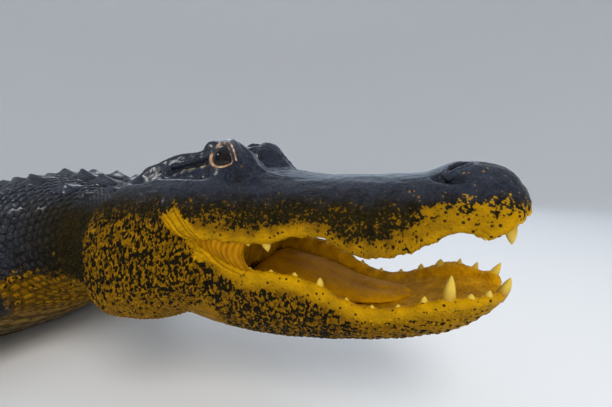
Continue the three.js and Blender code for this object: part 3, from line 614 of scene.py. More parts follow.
def footShells(kind, joints, side):
    palm = joints[-1]
    mirror = np.array([1, side, 1])
    ball, ballFaces = sphereShell(np.zeros(3), 1)
    parts = [(ball * np.array([palm[3] * 1.05, palm[3], 15]) + np.array([palm[0], palm[1], 12]), ballFaces)]
    place = np.linspace(0, 1, 26)[:, None]
    angle = np.linspace(0, 2 * pi, 20, endpoint=False)[None]
    for root, heading, length, radius, _ in toeRows(kind, joints):
        tube = toeSurface(root, heading, length, radius, place, angle)
        parts.append((tube.reshape(-1, 3), loftFaces(*tube.shape[:2])))
    if kind == "hind":
        parts.append(webShell(joints))
    return [(points * mirror, faces) for points, faces in parts]


# The web between hind toes: a fan whose edge dips between them, 6 mm thick
def webShell(joints):
    palm = joints[-1]
    heading = legs["hindHeading"]
    toes = np.array(legs["hindToes"])
    turn = np.linspace(toes[0, 0], toes[-1, 0], 40)
    reach = np.interp(turn, toes[:, 0], toes[:, 1]) * legs["webReach"]
    middles = (toes[1:, 0] + toes[:-1, 0]) / 2
    dips = sum(np.exp(-(((turn - middle) / 0.09) ** 2)) for middle in middles)
    reach = reach * (1 - 0.2 * dips)
    edge = np.stack([palm[0] + np.cos(heading + turn) * reach, palm[1] + np.sin(heading + turn) * reach], -1)
    outline = np.concatenate([palm[None, :2], edge])
    rows = [np.column_stack([outline, np.full(len(outline), level)]) for level in (0.5, 7)]
    return np.concatenate(rows), loftFaces(2, len(outline))


# Skins
skins = {
    "headCube": 2.4,
    "bodyCube": 5.2,
    "seamAt": 510,  # along the spine: the two skins cross here in a fold of the neck
    "seamDepth": 1.6,
}


def seam(s):
    return smooth(skins["seamAt"] - 10, skins["seamAt"] + 10, s)


def buildBodySkin():
    trunk = bodyShell(480, 3000, 6, 132, lambda s: -skins["seamDepth"] * (1 - seam(s)))
    parts = [trunk]
    for _, kind, side, joints in legSet:
        parts += [legShell(joints, side), *footShells(kind, joints, side)]
    return fuse("skin_body", parts, skins["bodyCube"], 4)


def buildHeadSkin():
    jowls = bodyShell(276, 540, 4, 150, lambda s: -skins["seamDepth"] * seam(s))
    parts = [skullShell(), jawShell(), jowls]
    for side in (-1, 1):
        spot, faces = sphereShell(eyeSpot(side), eyes["radius"] + eyes["lid"])
        parts.append((inHead(spot), faces))
    return fuse("skin_head", parts, skins["headCube"], 3)


# Where a point lies on the body: along the spine, an angle round from the top, and how far out
# it is as a share of the section there
def bodyCoordinates(points):
    s = np.interp(-points[:, 0], -spineX, alongSpine)
    for _ in range(5):
        turn = np.interp(s, alongSpine, spineTurn)
        spine = np.column_stack([np.interp(s, alongSpine, spineX), np.interp(s, alongSpine, spineY)])
        away = points[:, :2] - spine
        s = np.clip(s - away[:, 0] * np.cos(turn) + away[:, 1] * np.sin(turn), 0, body["tailTip"])
    across = away[:, 0] * np.sin(turn) + away[:, 1] * np.cos(turn)
    half, top, bottom, level, squareness = bodyProfile(s)
    middle = bottom + (top - bottom) * level
    up = points[:, 2] - middle
    reach = np.where(up > 0, top - middle, middle - bottom)
    u = signedPower(across / half, squareness / 2)
    v = signedPower(up / reach, squareness / 2)
    return s, np.arctan2(u, v), np.hypot(u, v) ** (2 / squareness)


# Distance from points in a plane to a line of joined spans, and the place along it from 0 to 1
def lineDistance(u, v, spots):
    spots = np.array(spots, float)
    best, place = np.full(u.shape, 1e9), np.zeros(u.shape)
    for k, (a, b) in enumerate(zip(spots[:-1], spots[1:])):
        span = b - a
        t = np.clip(((u - a[0]) * span[0] + (v - a[1]) * span[1]) / (span @ span), 0, 1)
        away = np.hypot(u - a[0] - t * span[0], v - a[1] - t * span[1])
        nearer = away < best
        place = np.where(nearer, (k + t) / (len(spots) - 1), place)
        best = np.where(nearer, away, best)
    return best, place


# Where a point lies on the head: everything that its markings and relief are worked out from
def headCoordinates(points, normals):
    h = toHead(points)
    facing = normals @ headTurn
    j = closeJaw(h)
    c = {"h": h, "facing": facing, "back": -h[:, 0], "out": h[:, 1], "z": h[:, 2]}
    c["jawBack"], c["jawZ"] = -j[:, 0], j[:, 2]
    c["half"], c["top"], c["lip"], _ = skullProfile(c["back"])
    c["jawHalf"], c["rim"], _, c["floor"] = jawProfile(c["jawBack"])
    c["aside"] = np.abs(h[:, 1])
    c["above"] = c["z"] - c["lip"]
    c["under"] = c["rim"] - c["jawZ"]
    ahead = c["back"] < marks["jawEnds"]
    c["lower"] = (c["z"] < 0.5 * (c["lip"] + openRim(c["back"]))) & ahead
    roofMouth = ~c["lower"] & (c["above"] < 0.3 * (c["top"] - c["lip"]) + 2) & (facing[:, 2] < 0.1)
    palate = roofMouth & (c["aside"] < 0.93 * c["half"]) & ahead
    bed = c["lower"] & (c["jawZ"] > c["floor"] - 4) & (facing[:, 2] > -0.25)
    bed = bed & (c["aside"] < 0.93 * c["jawHalf"])
    wall = (np.abs(c["back"] - 290) < 16) & (facing[:, 0] > 0.2) & (c["aside"] < 0.9 * c["jawHalf"])
    wall &= (c["above"] < 4) & (c["z"] > openRim(c["back"]) - 2)
    c["palate"], c["bed"], c["wall"] = palate, bed, wall
    c["mouth"] = (palate | bed | wall).astype(float)
    return c


marks = {
    # slateFrom is a waterline height: the slate above is partly painted sky light, the ochre below partly
    # painted amber water light
    "slateFrom": (229, 262),  # heights between which the slate of the top takes over
    "jawEnds": 303,  # back from the tip, behind the corner of the mouth
    # Back and height of the stretched corner's bright band, and of the pale line below the ear
    "cornerBand": [(345, 78), (330, 60), (310, 30), (294, 6), (276, -14), (262, -24)],
    "earLine": [(292, 88.5), (304, 88.5), (320, 87.5), (327, 87), (341, 86)],
    "creamFrom": 660,  # along the spine: ochre turns to cream behind it
    "footHeight": 75,  # lower than any part of the head
}
# Height of the ochre band along the upper lip, back from the tip
lipBand = profile([[0, 60], [60, 44], [84, 30], [110, 17], [140, 12], [180, 12], [230, 13], [290, 15],
                   [350, 15], [425, 14]])


# The bright band at the corner of the mouth: distance from its line, its share, and the place along it
def mouthCorner(c):
    away, place = lineDistance(c["back"], c["z"], marks["cornerBand"])
    width = blend(18, 6, place) * smooth(-0.1, 0.1, place)
    return away, np.where(c["aside"] > 68, 1 - smooth(0.55 * width, width, away), 0), place


# Markings of the head: shares of ochre, of the bright lips, of black specks, dots and mouth lining; and the
# painted water shade below the waterline's height
def headMarksAndShade(points, normals):
    c = headCoordinates(points, normals)
    patches = rough(points, 11, 3)

    # Slate above a ragged line, and flecks of it down to the upper lip's ochre band. The line stands at a
    # fixed waterline height: the slate above is partly painted sky light and the ochre below partly painted
    # amber water light, over the animal's own dark top and pale, speckled jaws
    slate = smooth(*marks["slateFrom"], points[:, 2] + 6 * patches)
    upper = smooth(0.6, 1.5, (c["above"] + 4 * patches) / lipBand(c["back"])[0])
    upper = np.where((c["back"] > 300) & (c["above"] < 0), 0, upper)
    isLow = c["lower"] | (c["back"] > marks["jawEnds"]) & (c["above"] < 2)
    flecked = blend(0.62, 0.78, np.exp(-(((c["back"] - 130) / 60) ** 2)))
    ochre = (1 - slate) * np.where(isLow, 1, 1 - flecked * upper)
    strand, band, _ = mouthCorner(c)
    band = band * (1 - smooth(230, 252, points[:, 2] + 6 * patches))
    ochre = np.maximum(ochre, band)

    # Bright lips, narrower at the back of the lower jaw, and a bright tip of the snout
    narrow = 1 - 0.8 * smooth(258, 303, c["jawBack"])
    rimBand = 1 - smooth(6, 18, (c["under"] + 4 * patches) / narrow)
    upperLip = 1 - smooth(3, 12, c["above"] + 4 * patches)
    upperLip = upperLip * (1 - 0.7 * np.exp(-(((c["back"] - 140) / 45) ** 2)))
    lip = np.where(c["lower"], rimBand, np.where(c["back"] < marks["jawEnds"], upperLip, 0))
    tipBright = 1 - smooth(40, 130, c["back"])
    lip = np.maximum(np.maximum(lip, 0.75 * tipBright), band)

    # Black dashes on the jowls and the chin, and small dots nearer the lips
    side = smooth(112, 165, points[:, 2] + 10 * patches)
    jowl = blend(0.1, 0.54, side) * smooth(270, 310, c["back"])
    chin = blend(0.3, 0.56, smooth(70, 190, c["jawBack"]))
    chin = chin * smooth(8, 24, (c["under"] + 4 * patches) / narrow)
    freckles = 0.06 + 0.2 * smooth(60, 110, c["back"]) * (1 - smooth(170, 220, c["back"]))
    speck = np.where(c["lower"], chin, np.where(c["back"] < 300, blend(freckles, 0.1, upper), jowl))
    speck = speck * (1 - band)
    dots = np.where(isLow, 1 - smooth(230, 300, c["jawBack"]), 1 - smooth(260, 310, c["back"]))
    dots = dots * (1 - c["mouth"])

    # A pale, broken line below the ear, and lower down a painted water shade that turns the dark skin olive
    # below the waterline's height
    line, _ = lineDistance(c["back"], c["z"], marks["earLine"])
    cream = 0.8 * (1 - smooth(0.6, 1.8, line)) * smooth(0.05, 0.3, noise(points, 4, 6)) * (c["aside"] > 50)
    paintedWaterShade = 1 - smooth(238, 266, points[:, 2] + 6 * patches)
    return {"ochre": ochre, "lip": lip, "speck": speck, "dots": dots, "fleshy": c["mouth"], "cream": cream,
            "paintedWaterShade": paintedWaterShade, "strand": strand, "corner": band}


# Markings of the body: dark above, ochre under the neck and cream under the trunk, and a painted water shade
# over the neck's lower part
def bodyMarksAndShade(points, normals):
    s, angle, away = bodyCoordinates(points)
    patches = rough(points, 26, 4)
    limb = smooth(1.06, 1.25, away) * ((s > 560) | (points[:, 2] < marks["footHeight"]))
    low = smooth(1.62, 2.05, np.abs(angle) + 0.16 * patches)
    neckLow = smooth(1.75, 2.3, np.abs(angle) + 0.16 * patches)
    toNeck = 1 - smooth(500, marks["creamFrom"], s)
    low = blend(low, neckLow, toNeck)
    limbLow = smooth(0.25, -0.45, normals[:, 2] + 0.25 * patches)
    low = blend(low, 0.8 * limbLow, limb) * (1 - 0.75 * smooth(1900, 2500, s))
    amber = low * (1 - limb) * (1 - smooth(marks["creamFrom"] - 60, marks["creamFrom"] + 220, s))
    speck = 0.35 * toNeck + 0.12
    cream = low * smooth(marks["creamFrom"] - 60, marks["creamFrom"] + 260, s)
    # Painted water shade: the neck's dark skin turns olive below the waterline's height
    paintedWaterShade = toNeck * (1 - smooth(225, 262, points[:, 2] + 6 * patches))
    onlyOnHead = {key: 0.0 * s for key in ("lip", "dots", "fleshy", "strand", "corner")}
    return {"ochre": np.maximum(amber, 0.4 * low), "speck": speck * (1 - 0.6 * low), "cream": cream,
            "paintedWaterShade": paintedWaterShade, **onlyOnHead}


# The head's markings and painted shade forward of the neck's fold, the body's behind it
def hideMarksAndShade(points, normals):
    share = smooth(434, 466, body["bellyAt"] - points[:, 0])
    share = np.where(points[:, 2] < marks["footHeight"], 1, share)
    onHead, onBody = headMarksAndShade(points, normals), bodyMarksAndShade(points, normals)
    return {key: blend(onHead[key], onBody[key], share) for key in onHead}


# Normals that all point up, for the markings of pieces whose roots lie on the back
def facingUp(points):
    return np.tile([0, 0, 1.0], (len(points), 1))


# Teeth: back from the tip, length on the left and on the right, radius
teeth = {
    "upper": [[9, 5, 4, 2.4], [16, 7, 5, 2.8], [25, 15, 16, 4.4], [44, 7, 5, 3.2], [84, 5, 4, 3],
              [102, 6, 5, 3.4], [120, 8, 5, 3.8], [140, 9, 5, 4], [164, 6, 4.5, 3.2], [198, 6, 5, 3.2],
              [234, 11, 12.5, 5], [252, 7, 6.5, 3.2]],
    "lower": [[20, 19, 20, 4.4], [34, 13, 8, 3.4], [48, 15, 6, 3.6], [66, 12, 24.5, 5.4], [86, 9, 8, 3.6],
              [108, 7, 5, 3], [132, 7, 5, 3], [157, 8, 5, 3.2], [184, 9, 11, 4.2], [210, 9, 6, 3.8],
              [234, 8, 5, 3.4], [256, 6, 5, 3]],
    "gum": 1.8,  # how far the gum swells round a root
    "forward": (0.42, 0.22),  # lean of the lower jaw's front teeth, on the left and on the right
    "inward": 0.12,  # bend of every tooth
    "varies": 0.04,
}


# Roots and leans of both sides' teeth, with the lower ones' places taken by the open jaw
def toothRoots(row):
    back, left, right, radius = np.repeat(np.array(teeth[row], float), 2, axis=0).T
    side = np.tile([1, -1], len(teeth[row]))
    length = np.where(side > 0, left, right)
    if row == "upper":
        half, _, lip, _ = skullProfile(back)
        root = np.stack([-back, side * half * 0.9, lip + 1.5], -1)
        lean = np.stack([0.05 + 0 * back, side * 0.12, -1 + 0 * back], -1)
    else:
        half, rim, _, _ = jawProfile(back)
        front = 1 - smooth(12, 60, back)
        root = np.stack([-back, side * half * 0.89, rim - 1.5], -1)
        forward = front * np.where(side > 0, *teeth["forward"])
        lean = np.stack([forward, side * (0.1 + 0.2 * front), 1 + 0 * back], -1)
    return root, lean / np.linalg.norm(lean, axis=1, keepdims=True), length, radius


def toothWorld(row, points):
    return inHead(points if row == "upper" else openJaw(points))


# A tooth: round rings whose radius falls as (1 - share^1.9)^0.8, bent inwards by share^2
def buildTeeth():
    parts = []
    share = np.linspace(-0.45, 1, 12)
    taper = np.maximum(1 - np.maximum(share, 0) ** 1.9, 0.02) ** 0.8
    turn = np.linspace(0, 2 * pi, 14, endpoint=False)
    for row in ("upper", "lower"):
        root, lean, length, radius = toothRoots(row)
        length = length * chance.uniform(1 - teeth["varies"], 1 + teeth["varies"], len(length))
        middle = root[:, None] + lean[:, None] * (share[None] * length[:, None])[..., None]
        middle[..., 1] -= np.sign(root[:, None, 1]) * teeth["inward"] * length[:, None] * share[None] ** 2
        reach = radius[:, None, None] * taper[None, :, None]
        x = middle[..., 0, None] + 1.1 * reach * np.cos(turn)
        y = middle[..., 1, None] + reach * np.sin(turn)
        rings = np.stack(np.broadcast_arrays(x, y, middle[..., 2, None]), -1)
        rings = toothWorld(row, rings.reshape(-1, 3)).reshape(len(root), -1, 3)
        heights = np.tile(np.repeat(share, len(turn)), len(root))
        parts.append((shells(rings, loftFaces(len(share), len(turn))), heights))
    piece = makeObject("teeth", *together([part for part, _ in parts]))
    setValues(piece, {"height": np.concatenate([heights for _, heights in parts])})
    return piece


nostrils = {
    "at": (58, 16),  # back and out
    "heading": 0.4,  # the slits spread to the rear
    "bow": 0.03,  # and curve, by this times the square of the distance along them
    "halfLength": 8.5,
    "halfWidth": 3.2,
    "depth": 7.5,
    # Reach out from the slit's edge, and height over the snout
    "brim": [[-1.4, -3.5], [-0.5, -0.6], [0.1, 0.8], [1.0, 1.7], [2.3, 2.0], [3.8, 1.5], [5.6, 0.4],
             [7, -1.2], [4, -3]],
}
relief = {
    "roof": 0.8,  # roughness of the skull's roof
    "eyeFolds": 0.7,
    "ripples": 0.8,  # in front of the eyes
    "lips": 1.3,
    "cornerFolds": 1.8,
    "jowls": 1.6,
    "chin": 0.9,
    "mouth": 0.9,
    "palateFolds": 0.8,
    "nostrilRim": 1.2,
    "groove": [(77, 50), (68, 46), (56, 45.5)],  # behind the nostrils: back and height
    "grooveDepth": 3.8,
    "grooveBumps": 2.2,
    "ear": [(297, 93), (312, 91.5), (330, 89.5), (356, 88), (357, 85)],
    "earDepth": 5.0,
    "earRim": 1.2,
    "hollow": 5,  # of the pit below the front of each eye
    "rimSwell": 6,  # of the lower jaw's left rim, at its fourth tooth
}


# How far the head's skin moves along its normal: folds, pits and swellings, each its own term
def headRelief(points, normals):
    c = headCoordinates(points, normals)
    h, facing = c["h"], c["facing"]
    outside = 1 - c["mouth"]

    # The roof's long, fine roughness, the folds round the eyes and the ripples before them
    fade = 1 - smooth(400, 450, c["back"])
    roof = smooth(-0.1, 0.4, facing[:, 2]) * (~c["lower"]) * outside * fade
    long = h * np.array([0.4, 1, 1])
    move = relief["roof"] * roof * (rough(long, 9, 21) + 0.5 * noise(h, 4.5, 22))
    eyeFold, socket = 0, np.zeros(len(h))
    for side in (-1, 1):
        a, b, far = eyeCoordinates(h, side)
        near = smooth(21, 25, np.hypot(a * 0.85, b)) * (1 - smooth(34, 46, np.hypot(a * 0.85, b)))
        near = near * (far < 48) * (h[:, 1] * side > 0)
        eyeFold = eyeFold + near * np.sin(2 * pi * np.hypot(a * 0.85, b) / 5.4 + 1.5 * noise(h, 12, 23))
        inside = np.clip((eyeOpening(a, b > 0) + 1 - np.abs(b)) / 1.5, 0, 1)
        socket = np.maximum(socket, inside * (far < 32) * (np.abs(a) < eyes["halfLength"]))
    move += relief["eyeFolds"] * eyeFold
    ripple = smooth(190, 215, c["back"]) * (1 - smooth(255, 275, c["back"])) * smooth(55, 66, c["z"])
    move += relief["ripples"] * ripple * outside * noise(h * np.array([0.28, 0.6, 1]), 3.6, 24)

    # Gums, the lips' waves, and the folds at the corner of the mouth
    for row, low in (("upper", False), ("lower", True)):
        root, _, _, radius = toothRoots(row)
        root = openJaw(root) if low else root
        away = np.linalg.norm((h[:, None] - root[None]) / (radius[None, :, None] * 1.9), axis=-1).min(1)
        move += teeth["gum"] * np.exp(-(away ** 2)) * (c["lower"] == low)
    edge = np.where(c["lower"], c["under"], c["above"])
    scallop = np.exp(-((edge - 5) / 7) ** 2) * outside * (c["back"] < 300)  # in waves along the lips
    move += relief["lips"] * scallop * (noise(h * np.array([1, 0.4, 0.6]), 9, 25) + 0.2)
    away, band, place = mouthCorner(c)
    folds = 0.5 + 0.5 * np.cos(2 * pi * away / 8 + 2 * place)
    band = band * (1 - smooth(230, 252, points[:, 2]))
    move += relief["cornerFolds"] * band * folds

    # Jowls and chin, and the swollen rim at the front of the lower jaw's left side
    jowl = smooth(260, 330, c["back"]) * (1 - smooth(420, 470, c["back"])) * (c["z"] < 40) * outside
    move += relief["jowls"] * jowl * rough(points * np.array([1, 1, 0.6]), 34, 26)
    chin = c["lower"] * outside * smooth(8, 20, c["under"])
    move += relief["chin"] * chin * rough(points, 13, 27)
    swell = np.exp(-(((c["jawBack"] - 50) / 16) ** 2)) + np.exp(-(((c["jawBack"] - 18) / 8) ** 2))
    swell = swell * np.exp(-(((c["under"] - 1) / 7) ** 2)) * smooth(-5, 15, c["out"])
    move += relief["rimSwell"] * swell * c["lower"]

    # Nostrils, the hollow before each eye, the groove behind the nostrils, the ears' slits
    for side in (-1, 1):
        u, v = c["back"] - nostrils["at"][0], c["out"] * side - nostrils["at"][1]
        heading = nostrils["heading"]
        a, b = u * cos(heading) + v * sin(heading), v * cos(heading) - u * sin(heading)
        b = b - nostrils["bow"] * a * a
        pit = np.exp(-(((a / 9) ** 2 + (b / 3.8) ** 2) ** 2)) * roof
        brim = np.exp(-(((np.hypot(a / 14, b / 9) - 1) / 0.35) ** 2)) * roof
        move += relief["nostrilRim"] * brim - nostrils["depth"] * pit
        a, b, far = eyeCoordinates(h, side)
        hollow = np.exp(-(((a - 27) / 6) ** 2) - ((b + 10) / 7) ** 2) * (far < 40) * (c["out"] * side > 0)
        move -= relief["hollow"] * hollow
    line, _ = lineDistance(c["back"], c["z"], relief["groove"])
    groove = (c["aside"] > 22) * (c["aside"] < 46) * (facing[:, 1] * np.sign(c["out"]) > -0.2) * outside
    bumps = np.exp(-(((c["z"] - 52) / 3) ** 2) - ((c["back"] - 65) / 9) ** 2)
    bumps = bumps * np.maximum(noise(h, 3.4, 29), 0)
    groove = groove * (relief["grooveBumps"] * bumps - relief["grooveDepth"] * np.exp(-((line / 2.6) ** 2)))
    line, _ = lineDistance(c["back"], c["z"], relief["ear"])
    ear = relief["earRim"] * np.exp(-(((line - 6) / 3.5) ** 2))
    ear = ear - relief["earDepth"] * np.exp(-((line / 2.2) ** 2))
    move += groove + ear * (c["aside"] > 50) * (c["back"] > 285)

    # Folds across the palate, and the rough floor of the mouth
    palate = c["palate"] * np.sin(2 * pi * (c["back"] + 0.004 * h[:, 1] ** 2) / 8)
    move += relief["palateFolds"] * palate + relief["mouth"] * (c["bed"] | c["wall"]) * rough(h, 8, 28)
    return move, socket


# The head's skin takes its markings and relief, and opens round each eyeball
def finishHeadSkin(piece):
    points, normals = pointsOf(piece), normalsOf(piece)
    move, socket = headRelief(points, normals)
    h = toHead(points)
    values = hideMarksAndShade(points, normals)
    points = points + normals * move[:, None]
    for side in (-1, 1):
        spot = inHead(eyeSpot(side))
        inward = points - spot
        away = np.linalg.norm(inward, axis=1, keepdims=True)
        mine = (np.sign(h[:, 1]) == side) * socket
        sunk = spot + inward / away * (eyes["radius"] - 5)
        points = blend(points, sunk, mine[:, None])
    setPoints(piece, points)
    # raised falls where the relief sinks, and the hide paints shade there
    setValues(piece, {**values, "tone": 0.5, "raised": np.clip(0.75 + 0.22 * move, 0.2, 1)})


def finishBodySkin(piece):
    points, normals = pointsOf(piece), normalsOf(piece)
    points += normals * (0.8 * rough(points, 30, 31))[:, None]
    points[:, 2] = np.maximum(points[:, 2], 0.3)
    setPoints(piece, points)
    # The body skin shows only between the scales, and its low raised value paints shade there
    setValues(piece, {**hideMarksAndShade(points, normals), "tone": 0.5, "raised": 0.25})


# Shader wires

# One socket of a material, so that shader maths reads as plain sums
class Wire:
    def __init__(self, paint, socket):
        self.paint = paint
        self.socket = socket

    def maths(self, operation, *others):
        return self.paint.node("ShaderNodeMath", {"operation": operation}, (self, *others))

    def __add__(self, other):
        return self.maths("ADD", other)

    def __sub__(self, other):
        return self.maths("SUBTRACT", other)

    def __rsub__(self, other):
        return self.paint.node("ShaderNodeMath", {"operation": "SUBTRACT"}, (other, self))

    def __mul__(self, other):
        return self.maths("MULTIPLY", other)

    __radd__ = __add__
    __rmul__ = __mul__

    def __pow__(self, other):
        return self.maths("POWER", other)

    def clipped(self):
        return self.maths("MAXIMUM", 0.0).maths("MINIMUM", 1.0)


# A material and its nodes
class Paint:
    def __init__(self, name, constants):
        self.material = bpy.data.materials.new(name)
        self.material.use_nodes = True
        self.tree = self.material.node_tree
        self.shader = self.tree.nodes["Principled BSDF"]
        for key, value in constants.items():
            self.shader.inputs[key].default_value = value

    def node(self, kind, settings, inputs, output=0):
        node = self.tree.nodes.new(kind)
        for key, value in settings.items():
            setattr(node, key, value)
        pairs = inputs.items() if isinstance(inputs, dict) else enumerate(inputs)
        for key, value in pairs:
            if isinstance(value, Wire):
                self.tree.links.new(value.socket, node.inputs[key])
            else:
                node.inputs[key].default_value = value
        return Wire(self, node.outputs[output])

    def coordinates(self, stretch=(1, 1, 1)):
        place = self.node("ShaderNodeTexCoord", {}, (), "Object")
        return self.node("ShaderNodeMapping", {}, {"Vector": place, "Scale": stretch})

    def value(self, name):
        return self.node("ShaderNodeAttribute", {"attribute_name": name}, (), "Fac")

    # Noise from 0 to 1 whose patches are about this many millimetres across
    def grain(self, size, detail=3.0, stretch=(1, 1, 1)):
        inputs = {"Vector": self.coordinates(stretch), "Scale": 700 / size, "Detail": detail}
        return self.node("ShaderNodeTexNoise", {}, inputs)

    # Distance to the nearest of a scatter of cell centres, this many millimetres apart
    def cells(self, size):
        return self.node("ShaderNodeTexVoronoi", {}, {"Vector": self.coordinates(), "Scale": 1000 / size})

    def mixed(self, share, first, second):
        return self.node("ShaderNodeMix", {"data_type": "RGBA"}, {0: share, 6: first, 7: second}, 2)

    def link(self, key, wire):
        self.tree.links.new(wire.socket, self.shader.inputs[key])

    def bump(self, height, depth):
        inputs = {"Strength": 1.0, "Distance": depth * metre, "Height": height}
        self.link("Normal", self.node("ShaderNodeBump", {}, inputs))


def rgb(red, green, blue):
    return (red, green, blue, 1.0)


hideLook = {
    # Slate: the dark skin's own near-black, with a blue tint that is painted sky reflection
    "slateDark": rgb(0.001, 0.0013, 0.003),
    "slateLight": rgb(0.027, 0.036, 0.062),
    # Olive: the dark skin's painted colour under water light, used below the waterline's height
    "oliveDark": rgb(0.004, 0.003, 0.001),
    "oliveLight": rgb(0.028, 0.020, 0.003),
    "ochreDark": rgb(0.085, 0.040, 0.001),
    "ochreLight": rgb(0.34, 0.165, 0.001),
    "lip": rgb(0.46, 0.24, 0.001),
    # Painted shade along the furrows of the mouth corner's band
    "shadedFurrow": rgb(0.20, 0.075, 0.001),
    "speck": rgb(0.008, 0.006, 0.0015),
    "cream": rgb(0.50, 0.40, 0.21),
    "liningDark": rgb(0.30, 0.115, 0.001),
    "liningLight": rgb(0.74, 0.38, 0.002),
    # Painted shade for pits, grooves, sunk rims and the skin between scales
    "creviceShade": rgb(0.006, 0.005, 0.004),
}


# Hide: slate above, ochre with black specks and dots below, bright lips, and painted shade that darkens the
# hide where its relief lies low
def hideFinish():
    look = hideLook
    paint = Paint("hide", {"Coat Roughness": 0.2, "Specular IOR Level": 0.04})
    tone, raised, ground = paint.value("tone"), paint.value("raised"), paint.value("ochre")
    fine, patch, broad = paint.grain(2.2), paint.grain(7), paint.grain(28)
    grey = (fine * 1.4 + patch * 1.0 + tone * 0.3 - 0.9).clipped()
    slate = paint.mixed(grey, look["slateDark"], look["slateLight"])
    olive = paint.mixed(grey, look["oliveDark"], look["oliveLight"])
    # Painted water shade: below the waterline's height the dark skin is olive instead of slate
    slate = paint.mixed(paint.value("paintedWaterShade"), slate, olive)
    share = (patch * 1.3 + tone * 0.7 + ground * 0.6 - 1.0).clipped()
    ochre = paint.mixed(share, look["ochreDark"], look["ochreLight"])
    ochre = paint.mixed((paint.value("lip") * (0.4 + patch)).clipped(), ochre, look["lip"])
    blot, fleck = paint.grain(2.0, 2.0, (1, 1, 0.55)), paint.grain(2.3, 2.0)
    specks = ((paint.value("speck") + (tone - 0.5) * 0.9 - (blot - 0.5) * 2.0 - 0.5) * 7 + 0.5).clipped()
    dot = ((0.23 - paint.cells(7.2)) * 16).clipped() * paint.value("dots")
    strands = (paint.value("strand") * 1.7 + patch * 4).maths("SINE")
    # Painted shade: the corner band's furrows are darker, and the bump dents them too
    shadedFurrow = (strands - 0.1).clipped() * paint.value("corner")
    ochre = paint.mixed(shadedFurrow * 0.75, ochre, look["shadedFurrow"])
    ochre = paint.mixed((specks + dot * 0.9).clipped(), ochre, look["speck"])
    amber = ((0.24 - paint.cells(4.2)) * 14).clipped() * ground * 1.9
    share = ((ground + amber + (patch - 0.5) * 1.0 + (fleck - 0.5) * 2.2 - 0.5) * 5 + 0.5).clipped()
    colour = paint.mixed(share, slate, ochre)
    creamShare = (paint.value("cream") * (0.7 + broad * 0.6)).clipped()
    colour = paint.mixed(creamShare, colour, look["cream"])
    lining = paint.mixed((patch * 1.5 - 0.25).clipped(), look["liningDark"], look["liningLight"])
    colour = paint.mixed(paint.value("fleshy"), colour, lining)
    # Painted shade: the lower the relief stands, the nearer the colour goes to near-black
    colour = paint.mixed((1 - raised) * 0.8, colour, look["creviceShade"])
    paint.link("Base Color", colour)
    paint.link("Coat Weight", (0.5 - paint.value("paintedWaterShade") * 0.5 - ground * 0.4).clipped())
    paint.link("Roughness", (0.34 + fine * 0.22 + share * 0.06 + (1 - raised) * 0.2).clipped())
    paint.bump(fine * 0.8 + patch * 0.5 - paint.cells(3.0) * 0.9 - shadedFurrow * 0.8, 1.2)
    return paint.material


# The crowns' yellow is partly the teeth's own colour and partly painted amber water light
toothLook = {"root": rgb(0.36, 0.18, 0.003), "crown": rgb(0.60, 0.42, 0.05)}


def toothFinish():
    paint = Paint("tooth", {"Specular IOR Level": 0.3})
    streak = paint.grain(3, 2.0, (1, 1, 0.2))
    share = (paint.value("height") * 1.6 + streak * 0.8 - 0.3).clipped()
    paint.link("Base Color", paint.mixed(share, toothLook["root"], toothLook["crown"]))
    paint.link("Roughness", 0.22 + streak * 0.2)
    paint.bump(streak, 0.3)
    return paint.material


tongueLook = {"dark": rgb(0.30, 0.115, 0.001), "light": rgb(0.70, 0.35, 0.002)}


def tongueFinish():
    paint = Paint("tongue", {"Specular IOR Level": 0.04})
    patch, fine = paint.grain(14), paint.grain(3)
    share = (patch * 1.2 + fine * 0.6 - 0.45).clipped()
    paint.link("Base Color", paint.mixed(share, tongueLook["dark"], tongueLook["light"]))
    paint.link("Roughness", 0.42 + fine * 0.2)
    paint.bump(fine - paint.cells(2.6) * 0.8, 0.8)
    return paint.material


eyeLook = {
    "iris": rgb(0.016, 0.011, 0.009),
    "rim": rgb(0.002, 0.002, 0.003),
    "pupil": rgb(0.0005, 0.0005, 0.0005),
}


# Eye: a dark, mottled iris with a darker rim, and a slit across the opening for a pupil
def eyeFinish():
    paint = Paint("eye", {"Roughness": 0.04, "Specular IOR Level": 0.22})
    ahead, up = paint.value("ahead"), paint.value("up")
    reach = (ahead * ahead + up * up) ** 0.5
    iris = paint.mixed((paint.grain(1.5, 4.0) * 1.3 - 0.2).clipped(), eyeLook["rim"], eyeLook["iris"])
    colour = paint.mixed(((reach - 0.62) * 9).clipped(), iris, eyeLook["rim"])
    slit = 0.13 - up * up * 0.55 - ahead.maths("ABSOLUTE")
    paint.link("Base Color", paint.mixed((slit * 40).clipped(), colour, eyeLook["pupil"]))
    return paint.material


lidLook = {"margin": rgb(0.26, 0.10, 0.035), "cream": rgb(0.62, 0.47, 0.30)}


def lidFinish():
    paint = Paint("eyelid", {"Coat Weight": 0.3, "Coat Roughness": 0.2})
    fine, patch = paint.grain(1.6), paint.grain(5)
    share = (fine * 0.8 + patch * 0.4 - 0.2).clipped()
    slate = paint.mixed(share, hideLook["slateDark"], hideLook["slateLight"])
    bright = paint.mixed((patch * 3 - 1.2).clipped(), lidLook["margin"], lidLook["cream"])
    share = ((paint.value("margin") + (patch - 0.5) * 2.0 - 0.5) * 3 + 0.5).clipped()
    paint.link("Base Color", paint.mixed(share, slate, bright))
    paint.link("Roughness", 0.28 + fine * 0.2)
    paint.bump(fine - paint.cells(2) * 0.7, 0.5)
    return paint.material


# Dark and light of the mouth corners: the skin's own mottle, and painted shade in the folds' hollows
cornerLook = {"dark": rgb(0.20, 0.075, 0.001), "light": rgb(0.50, 0.235, 0.001)}


